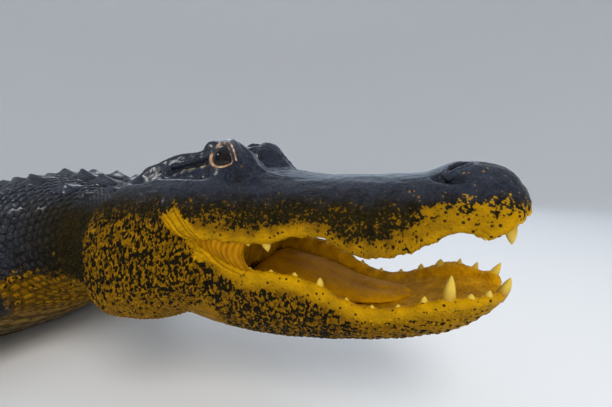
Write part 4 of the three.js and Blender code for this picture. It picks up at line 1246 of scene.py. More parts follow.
def cornerFinish():
    paint = Paint("corner", {"Specular IOR Level": 0.04})
    patch, fine = paint.grain(9), paint.grain(2.5)
    # Painted shade: lighter on the folds' crests and darker in their hollows, through the fold wave in height
    share = (paint.value("height") * 0.5 + patch * 0.9 + fine * 0.4 - 0.5).clipped()
    paint.link("Base Color", paint.mixed(share, cornerLook["dark"], cornerLook["light"]))
    paint.link("Roughness", 0.32 + fine * 0.2)
    paint.bump(fine + patch, 0.5)
    return paint.material


clawLook = {"dark": rgb(0.010, 0.008, 0.007), "light": rgb(0.075, 0.062, 0.048)}


def clawFinish():
    paint = Paint("claw", {"Coat Weight": 0.2})
    streak = paint.grain(3, 3.0, (0.3, 1, 1))
    paint.link("Base Color", paint.mixed(streak, clawLook["dark"], clawLook["light"]))
    paint.link("Roughness", 0.35 + streak * 0.25)
    paint.bump(streak, 0.4)
    return paint.material


# Lids: a ring of skin round each opening. Its section starts at the eye, rises over a bright
# margin and two folds, and comes back under the skin.
lids = {
    # Reach out from the opening's edge, and height over the ball
    "section": [[0, 0.1], [0.1, 0.9], [0.6, 1.8], [1.3, 2.3], [2.1, 2.3], [2.8, 1.8], [3.7, 2.5], [4.8, 3.0],
                [5.9, 2.7], [6.8, 2.2], [7.8, 3.0], [9.2, 3.5], [10.8, 3.3], [12.4, 2.4], [14.2, 0.2],
                [13.4, -3.0], [7, -3.4], [1.5, -2.2]],
    "reachGrows": (0.72, 1.05),  # from the lower lid to the upper one
    "heightGrows": (1.3, 1.4),
    "secondLine": 3.7,  # reach of the pale line on the front fold
    "lineTurn": 0.75,  # and how far round the opening it is brightest
    "wrinkles": 0.35,
}


def buildLids():
    parts, margins = [], []
    turn = np.linspace(0, 2 * pi, 110, endpoint=False)[:, None]
    sway, rise = np.cos(turn), np.sin(turn)
    above = rise > 0
    lidReach, lidHeight = np.array(lids["section"]).T[:, None]
    for side in (-1, 1):
        a = eyes["halfLength"] * sway
        b = np.where(above, 1, -1) * eyeOpening(a, above)
        out = np.concatenate([sway * 0.75, rise], 1)
        out /= np.linalg.norm(out, axis=1, keepdims=True)
        reach = lidReach * blend(*lids["reachGrows"], (rise + 1) / 2)
        lift = lidHeight * blend(*lids["heightGrows"], (rise + 1) / 2)
        wrinkle = lids["wrinkles"] * np.sin(9 * turn + 1.5 * reach) * smooth(3, 6, reach) * (lift > 1)
        far = eyes["radius"] + lift + wrinkle
        spots = eyePlace(side, a + out[:, :1] * reach, b + out[:, 1:] * reach, far)
        parts.append(shells(inHead(spots.reshape(-1, 3))[None], [ringFaces(*spots.shape[:2])]))
        second = np.exp(-(((lidReach - lids["secondLine"]) / 0.9) ** 2))
        second = second * smooth(0.35, 0.8, np.cos(turn - lids["lineTurn"]))
        low = smooth(0.1, -0.4, rise)
        bright = blend(0.62, 1.05, low) * (1 - 0.7 * smooth(0.75, 1, -sway) * (1 - low))
        edge = 1 - smooth(blend(0.4, 1.0, low), blend(1.2, 2.4, low), lidReach)
        margins.append((edge * bright + 0.8 * second).ravel())
    piece = makeObject("eyelids", *together(parts))
    setValues(piece, {"margin": np.concatenate(margins)})
    return piece


# Nostrils: a raised brim round each slit, on the roof of the snout
def buildNostrils():
    parts = []
    turn = np.linspace(0, 2 * pi, 60, endpoint=False)[:, None]
    reach, lift = np.array(nostrils["brim"]).T[:, None]
    for side in (-1, 1):
        a = (nostrils["halfLength"] + reach) * np.cos(turn)
        b = (nostrils["halfWidth"] + reach) * np.sin(turn) + nostrils["bow"] * a * a
        heading = nostrils["heading"]
        back = nostrils["at"][0] + a * cos(heading) - b * sin(heading)
        out = nostrils["at"][1] + a * sin(heading) + b * cos(heading)
        spots = np.stack([-back, side * out, skullTop(back, out) + lift], -1)
        parts.append(shells(inHead(spots.reshape(-1, 3))[None], [ringFaces(*spots.shape[:2])]))
    piece = makeObject("nostrils", *together(parts))
    points = pointsOf(piece)
    # raised follows the brim's height, so the hide paints shade where it dips
    raised = np.tile(np.clip(0.55 + 0.25 * lift[0], 0, 1), len(points) // lift.shape[1])
    setValues(piece, {**hideMarksAndShade(points, facingUp(points)), "tone": 0.5, "raised": raised})
    return piece


# Corners of the mouth: a stretched web from the upper lip to the lower rim on each side. Its
# front edge bows back by the sine of its height, and folds run along it.
mouthWeb = {
    "from": 250,  # back from the tip, at its ends
    "to": 303,
    "bow": 6,
    "inside": 0.93,  # of the jaws' half width
    "bulge": 5,
    "halfThick": 1.2,
    "fold": 5.6,  # from one fold to the next
    "depth": 0.6,
}


def buildCorners():
    parts = []
    down = np.linspace(0, 1, 50)[:, None]
    across = np.linspace(0, 1, 34)[None]
    front = mouthWeb["from"] + mouthWeb["bow"] * np.sin(pi * down) ** 0.8
    back = front + (mouthWeb["to"] - front) * across
    half, _, lip, _ = skullProfile(back)
    jawHalf, rim, _, _ = jawProfile(back)
    wave = np.cos(2 * pi * (back - front) / mouthWeb["fold"])
    for side in (-1, 1):
        upper = np.stack([-back, side * mouthWeb["inside"] * half, lip + 3], -1)
        lower = openJaw(np.stack([-back, side * mouthWeb["inside"] * jawHalf, rim - 2], -1))
        mid = blend(upper, lower, down[..., None])
        bulge = mouthWeb["bulge"] * np.sin(pi * down) * np.sin(pi * np.clip(across + 0.25, 0, 1))
        folds = mouthWeb["depth"] * wave * np.sin(pi * down) ** 0.5
        sheets = []
        for lift in (bulge + folds + mouthWeb["halfThick"], bulge - mouthWeb["halfThick"]):
            spots = mid.copy()
            spots[..., 1] += side * lift
            sheets.append(spots.reshape(-1, 3))
        rows, columns = mid.shape[:2]
        edge, inner = gridEdge(rows, columns), rows * columns
        after = np.roll(edge, -1)
        sheet = gridFaces(rows, columns, False)
        band = np.stack([edge, edge + inner, after + inner, after], -1)
        parts.append(shells(np.concatenate(sheets)[None], [sheet, sheet[:, ::-1] + inner, band[:, ::-1]]))
    piece = makeObject("mouth_corners", *together(parts))
    setPoints(piece, inHead(pointsOf(piece)))
    # height is the fold wave, which the corner finish turns into painted shade
    setValues(piece, {"height": np.tile((0.5 + 0.5 * wave).ravel(), 4)})
    return piece


# Eyeballs: balls whose radius grows by the bulge times exp(-(lean from the gaze / 0.6)^2)
def buildEyes():
    parts, ahead, upward = [], [], []
    for side in (-1, 1):
        along, up, gaze = eyeAxes(side)
        lean = np.linspace(0.004, pi - 0.004, 56)[:, None]
        turn = np.linspace(0, 2 * pi, 72, endpoint=False)[None]
        a, b, g = np.sin(lean) * np.cos(turn), np.sin(lean) * np.sin(turn), np.cos(lean) + 0 * turn
        bulge = 1 + eyes["bulge"] * np.exp(-((lean / 0.6) ** 2))
        spots = a[..., None] * along + b[..., None] * up + g[..., None] * gaze
        spots = spots * eyes["radius"] * bulge[..., None]
        spots = inHead(eyeSpot(side) + spots.reshape(-1, 3))
        parts.append(shells(spots[None], loftFaces(*a.shape)))
        ahead.append(a.ravel())
        upward.append(b.ravel())
    piece = makeObject("eyeballs", *together(parts))
    setValues(piece, {"ahead": np.concatenate(ahead), "up": np.concatenate(upward)})
    return piece


tongue = {
    # Back from the tip, share of the jaw's half width, and height
    "section": [[96, 0.16, 3], [112, 0.42, 8], [150, 0.58, 13], [215, 0.64, 24], [262, 0.62, 23],
                [276, 0.52, 16], [284, 0.3, 6]],
    "groove": 1.6,
    "roughness": (1.1, 0.5),  # coarse and fine
}


# Tongue: a broad pad whose section is an oval flattened below, roughened by two sizes of noise
def buildTongue():
    back = np.linspace(tongue["section"][0][0], tongue["section"][-1][0], 70)[:, None]
    wideShare, tall = profile(tongue["section"])(back)
    half, _, _, floor = jawProfile(back)
    angle = np.linspace(0, 2 * pi, 60, endpoint=False)[None]
    out = half * wideShare * np.cos(angle)
    z = floor - 2 + tall * 0.5 * (1 + signedPower(np.sin(angle), 0.8))
    spots = np.stack(np.broadcast_arrays(-back, out, z), -1).reshape(-1, 3)
    groove = tongue["groove"] * np.exp(-((spots[:, 1] / 3) ** 2)) * (spots[:, 2] > floor.mean())
    coarse, fine = tongue["roughness"]
    spots[:, 2] += coarse * rough(spots, 16, 41) + fine * noise(spots, 5, 42) - groove
    return makeObject("tongue_pad", *shells(inHead(openJaw(spots))[None], loftFaces(*z.shape)))


# A skin's faces in a form that is quick to search
def searchable(skin):
    graph = bpy.context.evaluated_depsgraph_get()
    bpy.context.view_layer.update()
    return BVHTree.FromObject(skin, graph)


# Where many small things sit: the nearest place on a skin, its normal, and how far off it was
def seated(tree, points):
    hits = [tree.find_nearest(Vector(p)) for p in points * metre]
    spots = np.array([hit[0] for hit in hits]) / metre
    return spots, np.array([hit[1] for hit in hits]), np.linalg.norm(spots - points, axis=1)


# Rings of a scale: share of its reach, and of its height
scaleRings = {
    "bead": [[0.62, 0.72], [1.02, -0.9]],
    "plate": [[0.5, 0.93], [0.82, 0.62], [1.0, -0.05], [0.98, -1.2]],
}


# A field of scales on a skin. Each is a rounded box outline on the skin's tangent plane, raised
# ring by ring: reach x height, with its rim sunk in the skin.
def scaleField(name, tree, centres, ahead, unwrap, halfLong, halfWide, height, kind="bead", sides=7,
               square=2.4, keel=0.0, reach=4.5):
    rings = np.array(scaleRings[kind])
    spots, out, off = seated(tree, centres)
    keep = off < reach
    spots, out, ahead, unwrap = spots[keep], out[keep], ahead[keep], unwrap[keep]
    halfLong, halfWide, height = (np.broadcast_to(v, len(keep))[keep] for v in (halfLong, halfWide, height))
    count = len(spots)
    across = np.cross(out, ahead)
    across /= np.linalg.norm(across, axis=1, keepdims=True)
    ahead = np.cross(across, out)
    turn = np.linspace(0, 2 * pi, sides, endpoint=False) + pi / sides
    size = (np.abs(np.cos(turn)) ** square + np.abs(np.sin(turn)) ** square) ** (-1 / square)
    a = np.concatenate([[0], (rings[:, :1] * (size * np.cos(turn))[None]).ravel()])
    b = np.concatenate([[0], (rings[:, :1] * (size * np.sin(turn))[None]).ravel()])
    level = np.concatenate([[1], np.repeat(rings[:, 1], sides)])
    lift = level[None] + keel * np.exp(-((b / 0.25) ** 2))[None] * (level > 0.5)
    sink = np.where(lift < 0, 1.3 + 0.06 * (halfLong + halfWide)[:, None], height[:, None])
    wobble = 1 + 0.1 * chance.uniform(-1, 1, (count, len(a)))
    points = spots[:, None] + ahead[:, None] * (a * halfLong[:, None] * wobble)[..., None]
    points = points + across[:, None] * (b * halfWide[:, None] * wobble)[..., None]
    points = points + out[:, None] * (lift * sink)[..., None]
    points[..., 2] = np.maximum(points[..., 2], 0.1)
    ring = np.arange(sides)
    after = (ring + 1) % sides
    faces = [np.stack([0 * ring, 1 + ring, 1 + after], -1)]
    for k in range(len(rings) - 1):
        near, far = 1 + k * sides, 1 + (k + 1) * sides
        faces.append(np.stack([near + ring, far + ring, far + after, near + after], -1))
    faces.append(1 + (len(rings) - 1) * sides + ring[None])
    piece = makeObject(name, *shells(points, faces))
    values = {key: np.repeat(value, len(a)) for key, value in hideMarksAndShade(spots, out).items()}
    values["tone"] = np.repeat(chance.uniform(0, 1, count), len(a))
    # Sunk rims get low raised values, which the hide paints as shade round each scale
    values["raised"] = np.tile(np.clip(0.35 + 0.75 * level, 0, 1), count)
    setValues(piece, values)
    patch = 0.0015 * np.column_stack([a, b])
    low, high = unwrap.min(0), unwrap.max(0)
    unwrap = 0.02 + 0.96 * (unwrap - low) / (high - low)
    bakeMap(piece, (unwrap[:, None] + patch[None]).reshape(-1, 2))
    return piece


# A UV map named OFBake: a small patch for each scale at its root's place
def bakeMap(piece, spots):
    layer = piece.data.uv_layers.new(name="OFBake")
    corners = np.empty(len(piece.data.loops), np.int32)
    piece.data.loops.foreach_get("vertex_index", corners)
    layer.data.foreach_set("uv", spots[corners].astype(np.float32).ravel())


# A staggered lattice of places: rows along u, columns along v, each row set half a step over
def lattice(uFrom, uTo, vFrom, vTo, uStep, vStep, jitter=0.12):
    u, v = np.meshgrid(np.arange(uFrom, uTo, uStep), np.arange(vFrom, vTo, vStep), indexing="ij")
    v = v + (np.arange(len(u)) % 2)[:, None] * vStep / 2
    u = u + chance.uniform(-jitter, jitter, u.shape) * uStep
    v = v + chance.uniform(-jitter, jitter, v.shape) * vStep
    return u.ravel(), v.ravel()


def bodyUnwrap(s, arc):
    return np.column_stack([s / body["tailTip"], 0.5 + 0.5 * arc / halfGirth(s)])


# Direction towards the head at places on the body
def bodyAhead(s, arc):
    step = bodySurface(s - 4, arc, 0.0) - bodySurface(s + 4, arc, 0.0)
    return step / np.linalg.norm(step, axis=1, keepdims=True)


scales = {
    # From one scale to the next, or along the spine and round the section
    "jowlStep": (4.2, 6.2),
    "jawStep": 8.6,
    "neckStep": 11.5,
    "flankStep": 19,
    "bellyStep": (25, 22),
    "legStep": 12,
}


# A field of scales whose places are given along the spine and round the section
def bodyField(name, tree, s, arc, long, wide, height, **more):
    centres, ahead, unwrap = bodySurface(s, arc, 0.0), bodyAhead(s, arc), bodyUnwrap(s, arc)
    return scaleField(name, tree, centres, ahead, unwrap, long, wide, height, **more)


# Beads over the jowls and the throat, longer upwards than along
def buildJowlBeads(tree):
    along, around = scales["jowlStep"]
    s, arc = lattice(300, 508, -330, 330, along, around)
    girth = halfGirth(s)
    arc = arc * girth / 330
    keep = (np.abs(arc) > 0.2 * girth) | (s > 440)
    s, arc = s[keep], arc[keep]
    size = 0.53 * chance.uniform(0.9, 1.06, len(s))
    height = chance.uniform(0.6, 1.3, len(s))
    return bodyField("jowl_beads", tree, s, arc, size * along, size * around, height)


# Flat scales over the lower jaw's sides and chin, in rows that follow the rim
def buildJawScales(tree):
    step = scales["jawStep"]
    back, angle = lattice(30, 296, 0.1, pi - 0.1, step * 0.9, 0.092)
    size = 0.5 * step * (0.62 + 0.38 * smooth(20, 150, back)) * chance.uniform(0.85, 1.05, len(back))
    centres = jawSurface(back, angle)
    ahead = jawSurface(back - 3, angle) - centres
    wide = np.linalg.norm(jawSurface(back, angle + 0.046) - jawSurface(back, angle - 0.046), axis=1) * 0.47
    unwrap = np.column_stack([back, angle])
    return scaleField("jaw_scales", tree, centres, ahead, unwrap, size, wide, 0.7, sides=8, square=3.2,
                      reach=3)


# Oval scales round the neck and the shoulders, larger towards the trunk
def buildNeckScales(tree):
    step = scales["neckStep"]
    s, arc = lattice(500, 660, -400, 400, step * 0.9, step)
    girth = halfGirth(s)
    keep = (np.abs(arc) < girth) & (np.abs(arc) > 14)
    s, arc = s[keep], arc[keep]
    grow = 0.8 + 0.3 * smooth(500, 640, s)
    size = 0.5 * step * grow * chance.uniform(0.8, 1.05, len(s))
    return bodyField("neck_scales", tree, s, arc, size * 0.95, size, 1.6, kind="plate", sides=8,
                     square=2.3, keel=0.25)


# Larger ovals over the flanks between the back's plates and the belly's rows
def buildFlankScales(tree):
    step = scales["flankStep"]
    s, arc = lattice(650, 1490, 60, 330, step * 0.87, step)
    s, arc = np.tile(s, 2), np.concatenate([arc, -arc])
    row = np.round((s - scutes["backFrom"]) / scutes["pitch"]).astype(int)
    plates = np.array(scutes["backRows"])[np.clip(row, 0, len(scutes["backRows"]) - 1)]
    bare = plates / 2 * scutes["spacing"]
    girth = halfGirth(s)
    keep = (np.abs(arc) > bare + 2) & (np.abs(arc) < 0.615 * girth)
    s, arc = s[keep], arc[keep]
    size = 0.5 * step * chance.uniform(0.72, 1.1, len(s))
    height = 2.6 * chance.uniform(0.6, 1.2, len(s))
    return bodyField("flank_scales", tree, s, arc, size, size * 0.95, height, kind="plate", sides=9,
                     square=2.2, keel=0.35, reach=6)


# Flat oblong scales in even cross rows under the throat, the belly and the tail's root
def buildBellyScales(tree):
    long, wide = scales["bellyStep"]
    s, column = np.meshgrid(np.arange(652, 1480, long), np.arange(-12, 13), indexing="ij")
    s, column = s.ravel(), column.ravel()
    girth = halfGirth(s)
    arc = np.where(column >= 0, girth - (column + 0.5) * wide, -(girth + (column + 0.5) * wide))
    keep = (np.abs(arc) > 0.63 * girth) & (np.abs(arc) < girth)
    s, arc = s[keep], arc[keep]
    return bodyField("belly_scales", tree, s, arc, 0.485 * long, 0.47 * wide, 1.2, kind="plate",
                     sides=12, square=5, reach=7)


# Oblong scales round the tail in whorls, one whorl for each plate of the crest
def buildTailScales(tree):
    fields = []
    for middle, pitch in tailRows():
        girth = halfGirth(np.array([middle]))[0]
        beside = blend(62, 19, crestRise(middle)) + 3
        first = crestOut(middle) + 54 if middle < scutes["outerTo"] else beside
        count = max(3, int((girth - first) / (0.62 * pitch)))
        arc = first + (np.arange(count) + 0.5) * (girth - first) / count
        wide = 0.5 * (girth - first) / count
        arc = np.concatenate([arc, -arc])
        fields.append(np.column_stack([0 * arc + middle, arc, 0 * arc + pitch * 0.48, 0 * arc + wide * 0.95]))
    s, arc, long, wide = np.concatenate(fields).T
    return bodyField("tail_scales", tree, s, arc, long, wide, 1.4 + 0.02 * wide, kind="plate", sides=12,
                     square=4.5, reach=7)


# Rounded scales over the legs, smaller towards the feet
def buildLegScales(tree):
    step = scales["legStep"]
    parts = []
    for index, (_, _, side, joints) in enumerate(legSet):
        spans = np.linalg.norm(np.diff(joints[:, :3], axis=0), axis=1)
        far = np.concatenate([[0], np.cumsum(spans)])
        along = np.arange(20, far[-1], step * 0.8)
        place = np.interp(along, far, np.arange(len(joints)))
        girth = 2 * pi * np.interp(place, np.arange(len(joints)), joints[:, 3:].mean(1))
        count = np.maximum((girth / step / (1 - 0.25 * smooth(2, 4.5, place))).astype(int), 8)
        row = np.repeat(np.arange(len(place)), count)
        column = np.arange(len(row)) - np.repeat(np.cumsum(count) - count, count)
        angle = 2 * pi * (column + 0.5 * (row % 2) + chance.uniform(-0.1, 0.1, len(row))) / count[row]
        size = 0.5 * girth[row] / count[row]
        spots = legSurface(joints, side, place[row], angle)
        ahead = legSurface(joints, side, place[row] + 0.02, angle) - spots
        parts.append(np.column_stack([spots, ahead, index + place[row] / 5, angle / (2 * pi), size]))
    table = np.concatenate(parts)
    size = table[:, 8] * chance.uniform(0.86, 1.04, len(table))
    return scaleField("leg_scales", tree, table[:, :3], table[:, 3:6], table[:, 6:8], size * 0.92, size,
                      1.5 * chance.uniform(0.7, 1.2, len(table)), sides=7, square=2.4, reach=5)


# Broad bands across the top of each toe
def buildToeScales(tree):
    parts = []
    for index, (_, kind, side, joints) in enumerate(legSet):
        for number, (root, heading, length, radius, _) in enumerate(toeRows(kind, joints)):
            place = np.arange(0.12, 0.92, 5.2 / length)
            spots = toeSurface(root, heading, length, radius, place, np.full(len(place), pi / 2))
            spots = spots * np.array([1, side, 1])
            forward = np.array([cos(heading), side * sin(heading), -0.05])
            slim = profile([[0, 1], [0.55, 0.86], [0.92, 0.55]])(place)[0]
            unwrap = index + number / 6 + 0 * place
            parts.append(np.column_stack([spots, np.tile(forward, (len(place), 1)), unwrap, place,
                                          0.78 * radius * slim]))
    table = np.concatenate(parts)
    return scaleField("toe_scales", tree, table[:, :3], table[:, 3:6], table[:, 6:8], 2.5, table[:, 8], 1.1,
                      kind="plate", sides=12, square=4, reach=6)


# Scutes: bony plates in cross rows, each with a keel along it
scutes = {
    "backRows": [4, 6, 6, 6, 8, 8, 8, 8, 8, 8, 8, 8, 6, 6, 6, 4, 4, 4],
    "backFrom": 632,
    "pitch": 47,  # from one cross row to the next
    "spacing": 41,  # from one plate to the next across the back
    "plate": (45, 39.5, 11),  # length, width, height
    "edgePlate": (36, 8.5),  # width and height of the outermost ones of an eight
    "rounding": 0.75,
    "neck": [[530, 26, 44, 42, 13], [576, 25, 42, 40, 13], [553, 66, 36, 30, 9], [484, 22, 22, 22, 8],
             [481, 52, 20, 22, 7], [508, 72, 18, 18, 6]],  # along the spine, out, length, width, height
    "tailFrom": 1455,
    "tailTo": 2970,
    "tailLengths": (46, 27),  # of a cross row at the root and at the tip
    "tailFuse": (1480, 2190),  # the tail's two crests draw together between these
    "crestOut": (46, 13),  # and stand this far from the middle there
    "outerTo": 1820,  # where the rows outside the crests end
}


# Middles and lengths of the tail's cross rows, which shorten towards the tip
def tailRows():
    rows, front = [], scutes["tailFrom"]
    while front < scutes["tailTo"]:
        length = np.interp(front, [scutes["tailFrom"], body["tailTip"]], scutes["tailLengths"])
        rows.append((front + length / 2, length))
        front += length
    return rows


# How far the tail's two crests have drawn together, from 0 to 1
def crestRise(s):
    return float(smooth(*scutes["tailFuse"], s))


def crestOut(s):
    return blend(*scutes["crestOut"], crestRise(s))


# A plate is a rounded square on the skin. Its height is a low bevelled slab, and over it a keel
# exp(-|v| / 0.2) that rises towards the rear. The outermost ring is sunk in the skin.
def buildScutes():
    rows = []
    for k, count in enumerate(scutes["backRows"]):
        arc = (np.arange(count) - (count - 1) / 2) * scutes["spacing"]
        edge = np.abs(arc) > 3.2 * scutes["spacing"]
        s = scutes["backFrom"] + k * scutes["pitch"] + 0 * arc
        (long, wide, high), (edgeWide, edgeHigh) = scutes["plate"], scutes["edgePlate"]
        wide, high = np.where(edge, edgeWide, wide), np.where(edge, edgeHigh, high)
        rows.append(np.column_stack([s, arc, 0 * arc + long, wide, high]))
    for s, arc, long, wide, high in scutes["neck"]:
        rows.append(np.array([[s, arc, long, wide, high], [s, -arc, long, wide, high]]))
    for middle, length in tailRows():
        if middle < scutes["outerTo"]:
            outer = crestOut(middle) + 37
            rows.append(np.array([[middle, side * outer, length - 4, 31, 7.5] for side in (-1, 1)]))
        inner = crestOut(middle) - 17
        if inner > 6:
            rows.append(np.array([[middle, side * inner / 2, length - 4, inner - 2, 4] for side in (-1, 1)]))
    s, arc, long, wide, high = np.concatenate(rows).T[..., None, None]
    u = np.array([-1.02, -1, -0.84, -0.5, -0.1, 0.3, 0.6, 0.84, 1, 1.02])[:, None]
    v = np.array([-1.02, -1, -0.76, -0.4, -0.12, 0, 0.12, 0.4, 0.76, 1, 1.02])[None]
    corner = scutes["rounding"]
    x = u * (1 - corner + corner * np.sqrt(1 - 0.34 * v * v))
    y = v * (1 - corner + corner * np.sqrt(1 - 0.34 * u * u))
    sunk = np.maximum(np.abs(u), np.abs(v)) > 1.01
    slab = np.maximum(1 - np.maximum(np.abs(u), np.abs(v)) ** 4, 0) ** 0.8
    keel = np.exp(-np.maximum(np.abs(v) - 0.03, 0) / 0.22)
    keel = keel * smooth(-1.25, 0.45, u) * (1 - 0.8 * smooth(0.62, 1, u))
    share = 0.34 * slab + 0.66 * keel * slab ** 0.5
    place = np.stack(np.broadcast_arrays(s + 0 * x, arc + 0 * x, 0 * x), -1)
    grain = noise(place + np.stack([x * 22, y * 20, 0 * x], -1), 7, 51)
    lift = np.where(sunk, -3.5, high * share + 0.8 * grain * slab)
    points = bodySurface(s + x * long / 2, arc + y * wide / 2, lift)
    count, rows, columns = points.shape[:3]
    faces = [gridFaces(rows, columns, False), gridEdge(rows, columns)[None, ::-1]]
    piece = makeObject("scutes", *shells(points.reshape(count, -1, 3), faces))
    roots = np.repeat(points.mean((1, 2)), rows * columns, axis=0)
    # Sunk edges get no height here, which the hide paints as shade round each plate
    raised = np.where(sunk, 0, np.clip(0.25 + 1.3 * share + 0.12 * grain, 0, 1))
    tone = np.repeat(chance.uniform(0.2, 0.8, count), rows * columns)
    setValues(piece, {**hideMarksAndShade(roots, facingUp(roots)), "tone": tone, "raised": raised.ravel()})
    return piece


crest = {
    "twinHeight": (11, 38),  # from the root to where the two rows become one
    "twinThick": (32, 12),
    "singleHeight": (46, 12),  # from there to the tip
    "singleThick": 0.42,  # of the tail's half width
}


# The tail's crest: upright blades, two rows that become one. Up a blade its front slopes back,
# and its thickness falls as (1 - share)^0.75.
def buildCrest():
    blades = []
    for middle, length in tailRows():
        rise = crestRise(middle)
        half = bodyProfile(np.array([middle]))[0][0]
        if middle > scutes["tailFuse"][1]:
            high = np.interp(middle, [scutes["tailFuse"][1], body["tailTip"]], crest["singleHeight"])
            blades.append([middle, 0, length * 0.98, max(half * crest["singleThick"], 5), high])
        else:
            high, thick = blend(*crest["twinHeight"], rise), blend(*crest["twinThick"], rise)
            blades += [[middle, side * crestOut(middle), length * 0.98, thick, high] for side in (-1, 1)]
    s, arc, long, thick, high = np.array(blades).T[..., None, None]
    share = np.array([-0.22, 0, 0.14, 0.32, 0.52, 0.72, 0.88, 1.0])[:, None]
    turn = np.linspace(0, 2 * pi, 18, endpoint=False)[None]
    up = np.maximum(share, 0)
    first = -0.5 + 0.62 * up ** 1.25
    last = 0.5 - 0.26 * up ** 2 + 0.1 * np.sin(pi * up)
    reach = signedPower(np.cos(turn), 0.8)
    along = (first + last) / 2 - (last - first) / 2 * reach
    across = 0.5 * signedPower(np.sin(turn), 1.1) * np.maximum(1 - up, 0.03) ** 0.75 * (1 + 0.25 * reach)
    ruffle = noise(np.stack(np.broadcast_arrays(s, 8 * share + arc, 3 * turn), -1), 2.2, 61)
    lift = high * share * (1 + 0.05 * chance.uniform(-1, 1, s.shape))
    points = bodySurface(s + along * long, arc + across * thick * (1 + 0.1 * ruffle), lift)
    count, rows, columns = points.shape[:3]
    piece = makeObject("tail_crest", *shells(points.reshape(count, -1, 3), loftFaces(rows, columns)))
    roots = np.repeat(points[:, 0].mean(1), rows * columns, axis=0)
    # Blades are lower at their roots, which the hide paints darker as shade
    raised = np.clip(0.3 + 0.9 * share + 0.15 * ruffle, 0, 1)
    tone = np.repeat(chance.uniform(0.2, 0.8, count), rows * columns)
    setValues(piece, {**hideMarksAndShade(roots, facingUp(roots)), "tone": tone, "raised": raised.ravel()})
    return piece


claws = {
    "length": 2.5,  # as a share of the toe's radius
    "radius": 0.46,  # as another
    "arch": 2.2,
    "drop": 6.8,  # of the point
    "floorGap": 0.4,
}


# Claws: round horns on the inner toes, bent down towards their points
def buildClaws():
    parts = []
    share = np.linspace(-0.3, 1, 12)[:, None]
    turn = np.linspace(0, 2 * pi, 14, endpoint=False)[None]
    for _, kind, side, joints in legSet:
        for root, heading, length, radius, clawed in toeRows(kind, joints):
            if clawed:
                reach = radius * claws["radius"] * np.maximum(1 - np.maximum(share, 0) ** 1.5, 0.03)
                ahead = length * 0.93 + share * radius * claws["length"]
                high = 8.5 + claws["arch"] * np.sin(pi * np.clip(share, 0, 1))
                high = high - claws["drop"] * np.maximum(share, 0) ** 2
                x = root[0] + cos(heading) * ahead - sin(heading) * reach * 0.8 * np.cos(turn)
                y = root[1] + sin(heading) * ahead + cos(heading) * reach * 0.8 * np.cos(turn)
                z = np.maximum(high + 1.15 * reach * np.sin(turn), claws["floorGap"])
                spots = np.stack(np.broadcast_arrays(x, y, z), -1) * np.array([1, side, 1])
                parts.append(shells(spots.reshape(1, -1, 3), loftFaces(*z.shape)))
    return makeObject("claws", *together(parts))


# The whole animal: skins first, then what sits on them
hide = hideFinish()
headSkin = buildHeadSkin()
bodySkin = buildBodySkin()
finishHeadSkin(headSkin)
finishBodySkin(bodySkin)
print("skins fused")
headTree, bodyTree = searchable(headSkin), searchable(bodySkin)
headNodes = ["head", "neck", "throat", "lower_jaw", "ear_left", "ear_right"]
tailNodes = ["tail_1", "tail_2", "tail_3", "tail_4"]
trunkNodes = ["torso", *tailNodes]
legParts = ("foreleg_upper", "foreleg_lower", "forefoot", "hindleg_upper", "hindleg_lower", "hindfoot")
legNodes = [f"{part}_{side}" for side in ("left", "right") for part in legParts]
footNodes = [node for node in legNodes if "foot" in node]
dress(buildJowlBeads(headTree), hide, ["throat"])
dress(buildJawScales(headTree), hide, ["lower_jaw"])
dress(buildNeckScales(bodyTree), hide, ["neck"])
dress(buildFlankScales(bodyTree), hide, ["torso"])
dress(buildBellyScales(bodyTree), hide, ["torso"])
dress(buildTailScales(bodyTree), hide, tailNodes)
dress(buildLegScales(bodyTree), hide, legNodes)
dress(buildToeScales(bodyTree), hide, legNodes)
dress(buildScutes(), hide, [*trunkNodes, "neck"])
dress(buildCrest(), hide, tailNodes)
dress(buildClaws(), clawFinish(), footNodes)
dress(headSkin, hide, headNodes)
dress(bodySkin, hide, [*trunkNodes, *legNodes])
dress(buildTeeth(), toothFinish(), ["head", "lower_jaw"])
dress(buildTongue(), tongueFinish(), ["tongue"])
dress(buildEyes(), eyeFinish(), ["eye_left", "eye_right"])
dress(buildLids(), lidFinish(), ["head"])
dress(buildNostrils(), hide, ["head"])
dress(buildCorners(), cornerFinish(), ["head", "lower_jaw"])


# Studio: a pale floor that curves up behind, soft lights and the camera
studio = {
    "cameraAt": (0.943, -0.305, 0.267),
    "azimuth": radians(20.7),
    "down": radians(4.5),
    "focalPixels": 273,
    "frameWidth": 612,
    "sensor": 36,
    "floorFlat": 4000,
    "bendRadius": 4000,
    "wallTop": 9000,
    "worldColour": (0.82, 0.88, 1, 1),
    "worldStrength": 0.75,
}
lights = {  # place, aim, size, power, colour, and the rays that it is hidden from
    "key": ((1.9, -1.5, 2.4), (0.7, 0, 0.15), 1.7, 48, (1, 0.98, 0.95), "glossy"),
    "sparkle": ((-1.15, -1.32, 1.55), (0.75, 0, 0.28), 0.36, 7, (1, 0.98, 0.95), "diffuse"),
    "fill": ((1.3, -2.6, 0.7), (0.75, 0, 0.15), 1.6, 24, (1, 0.95, 0.87), "glossy"),
    "rear": ((-1.6, 1.8, 2.6), (0.2, 0, 0.1), 1.5, 22, (0.85, 0.92, 1), ""),
    "sky": ((0.7, 2.6, 2.0), (0.7, 0, 0.2), 2.6, 16, (0.62, 0.8, 1), "camera"),
}


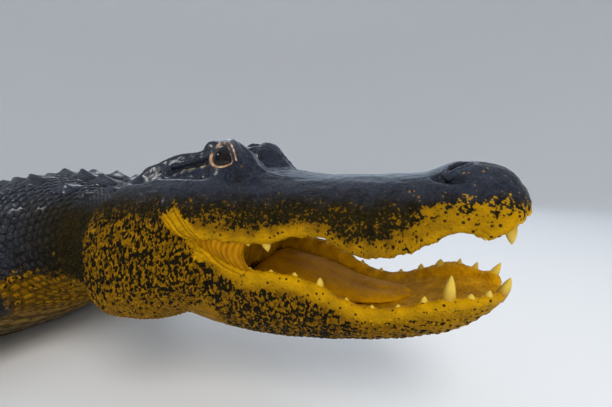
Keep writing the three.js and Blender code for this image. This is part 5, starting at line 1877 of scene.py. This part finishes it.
def addCamera():
    camera = bpy.data.objects.new("camera", bpy.data.cameras.new("camera"))
    camera.data.sensor_width = studio["sensor"]
    camera.data.lens = studio["sensor"] * studio["focalPixels"] / studio["frameWidth"]
    camera.data.clip_start = 0.01
    level = cos(studio["down"])
    look = Vector((-sin(studio["azimuth"]) * level, cos(studio["azimuth"]) * level, -sin(studio["down"])))
    camera.location = studio["cameraAt"]
    camera.rotation_mode = "QUATERNION"
    camera.rotation_quaternion = look.to_track_quat("-Z", "Y")
    bpy.context.scene.collection.objects.link(camera)
    bpy.context.scene.camera = camera


def addLight(name, at, aim, size, power, colour, hidden):
    light = bpy.data.objects.new(name, bpy.data.lights.new(name, "AREA"))
    light.data.shape = "DISK"
    light.data.size = size
    light.data.energy = power
    light.data.color = colour
    light.location = at
    light.rotation_mode = "QUATERNION"
    light.rotation_quaternion = (Vector(aim) - Vector(at)).to_track_quat("-Z", "Y")
    if hidden:
        setattr(light, f"visible_{hidden}", False)
    bpy.context.scene.collection.objects.link(light)


# A round floor, level out to 4 m, that curves up as a quarter circle into a tall wall
def addFloor():
    bend = np.linspace(0, pi / 2, 20)[1:]
    flat, radius = studio["floorFlat"], studio["bendRadius"]
    reach = np.concatenate([[200, flat], flat + radius * np.sin(bend), [flat + radius]])[:, None]
    height = np.concatenate([[0, 0], radius * (1 - np.cos(bend)), [studio["wallTop"]]])[:, None]
    turn = np.linspace(0, 2 * pi, 96, endpoint=False)[None]
    spots = np.stack(np.broadcast_arrays(reach * np.cos(turn), reach * np.sin(turn), height), -1)
    rings = gridFaces(len(reach), turn.shape[1])
    floor = makeObject("floor", spots.reshape(-1, 3), [rings, np.arange(turn.shape[1])[None, ::-1]])
    floor.data.polygons.foreach_set("use_smooth", np.ones(len(floor.data.polygons), bool))
    paint = Paint("floor", {"Base Color": rgb(0.78, 0.78, 0.77), "Roughness": 0.9, "Specular IOR Level": 0.2})
    floor.data.materials.append(paint.material)


def addWorld():
    world = bpy.data.worlds.new("studio")
    world.use_nodes = True
    background = world.node_tree.nodes["Background"]
    background.inputs["Color"].default_value = studio["worldColour"]
    background.inputs["Strength"].default_value = studio["worldStrength"]
    bpy.context.scene.world = world


addCamera()
addFloor()
for name, row in lights.items():
    addLight(name, *row)
addWorld()
bpy.context.scene.view_settings.view_transform = "Standard"
print("studio lit")
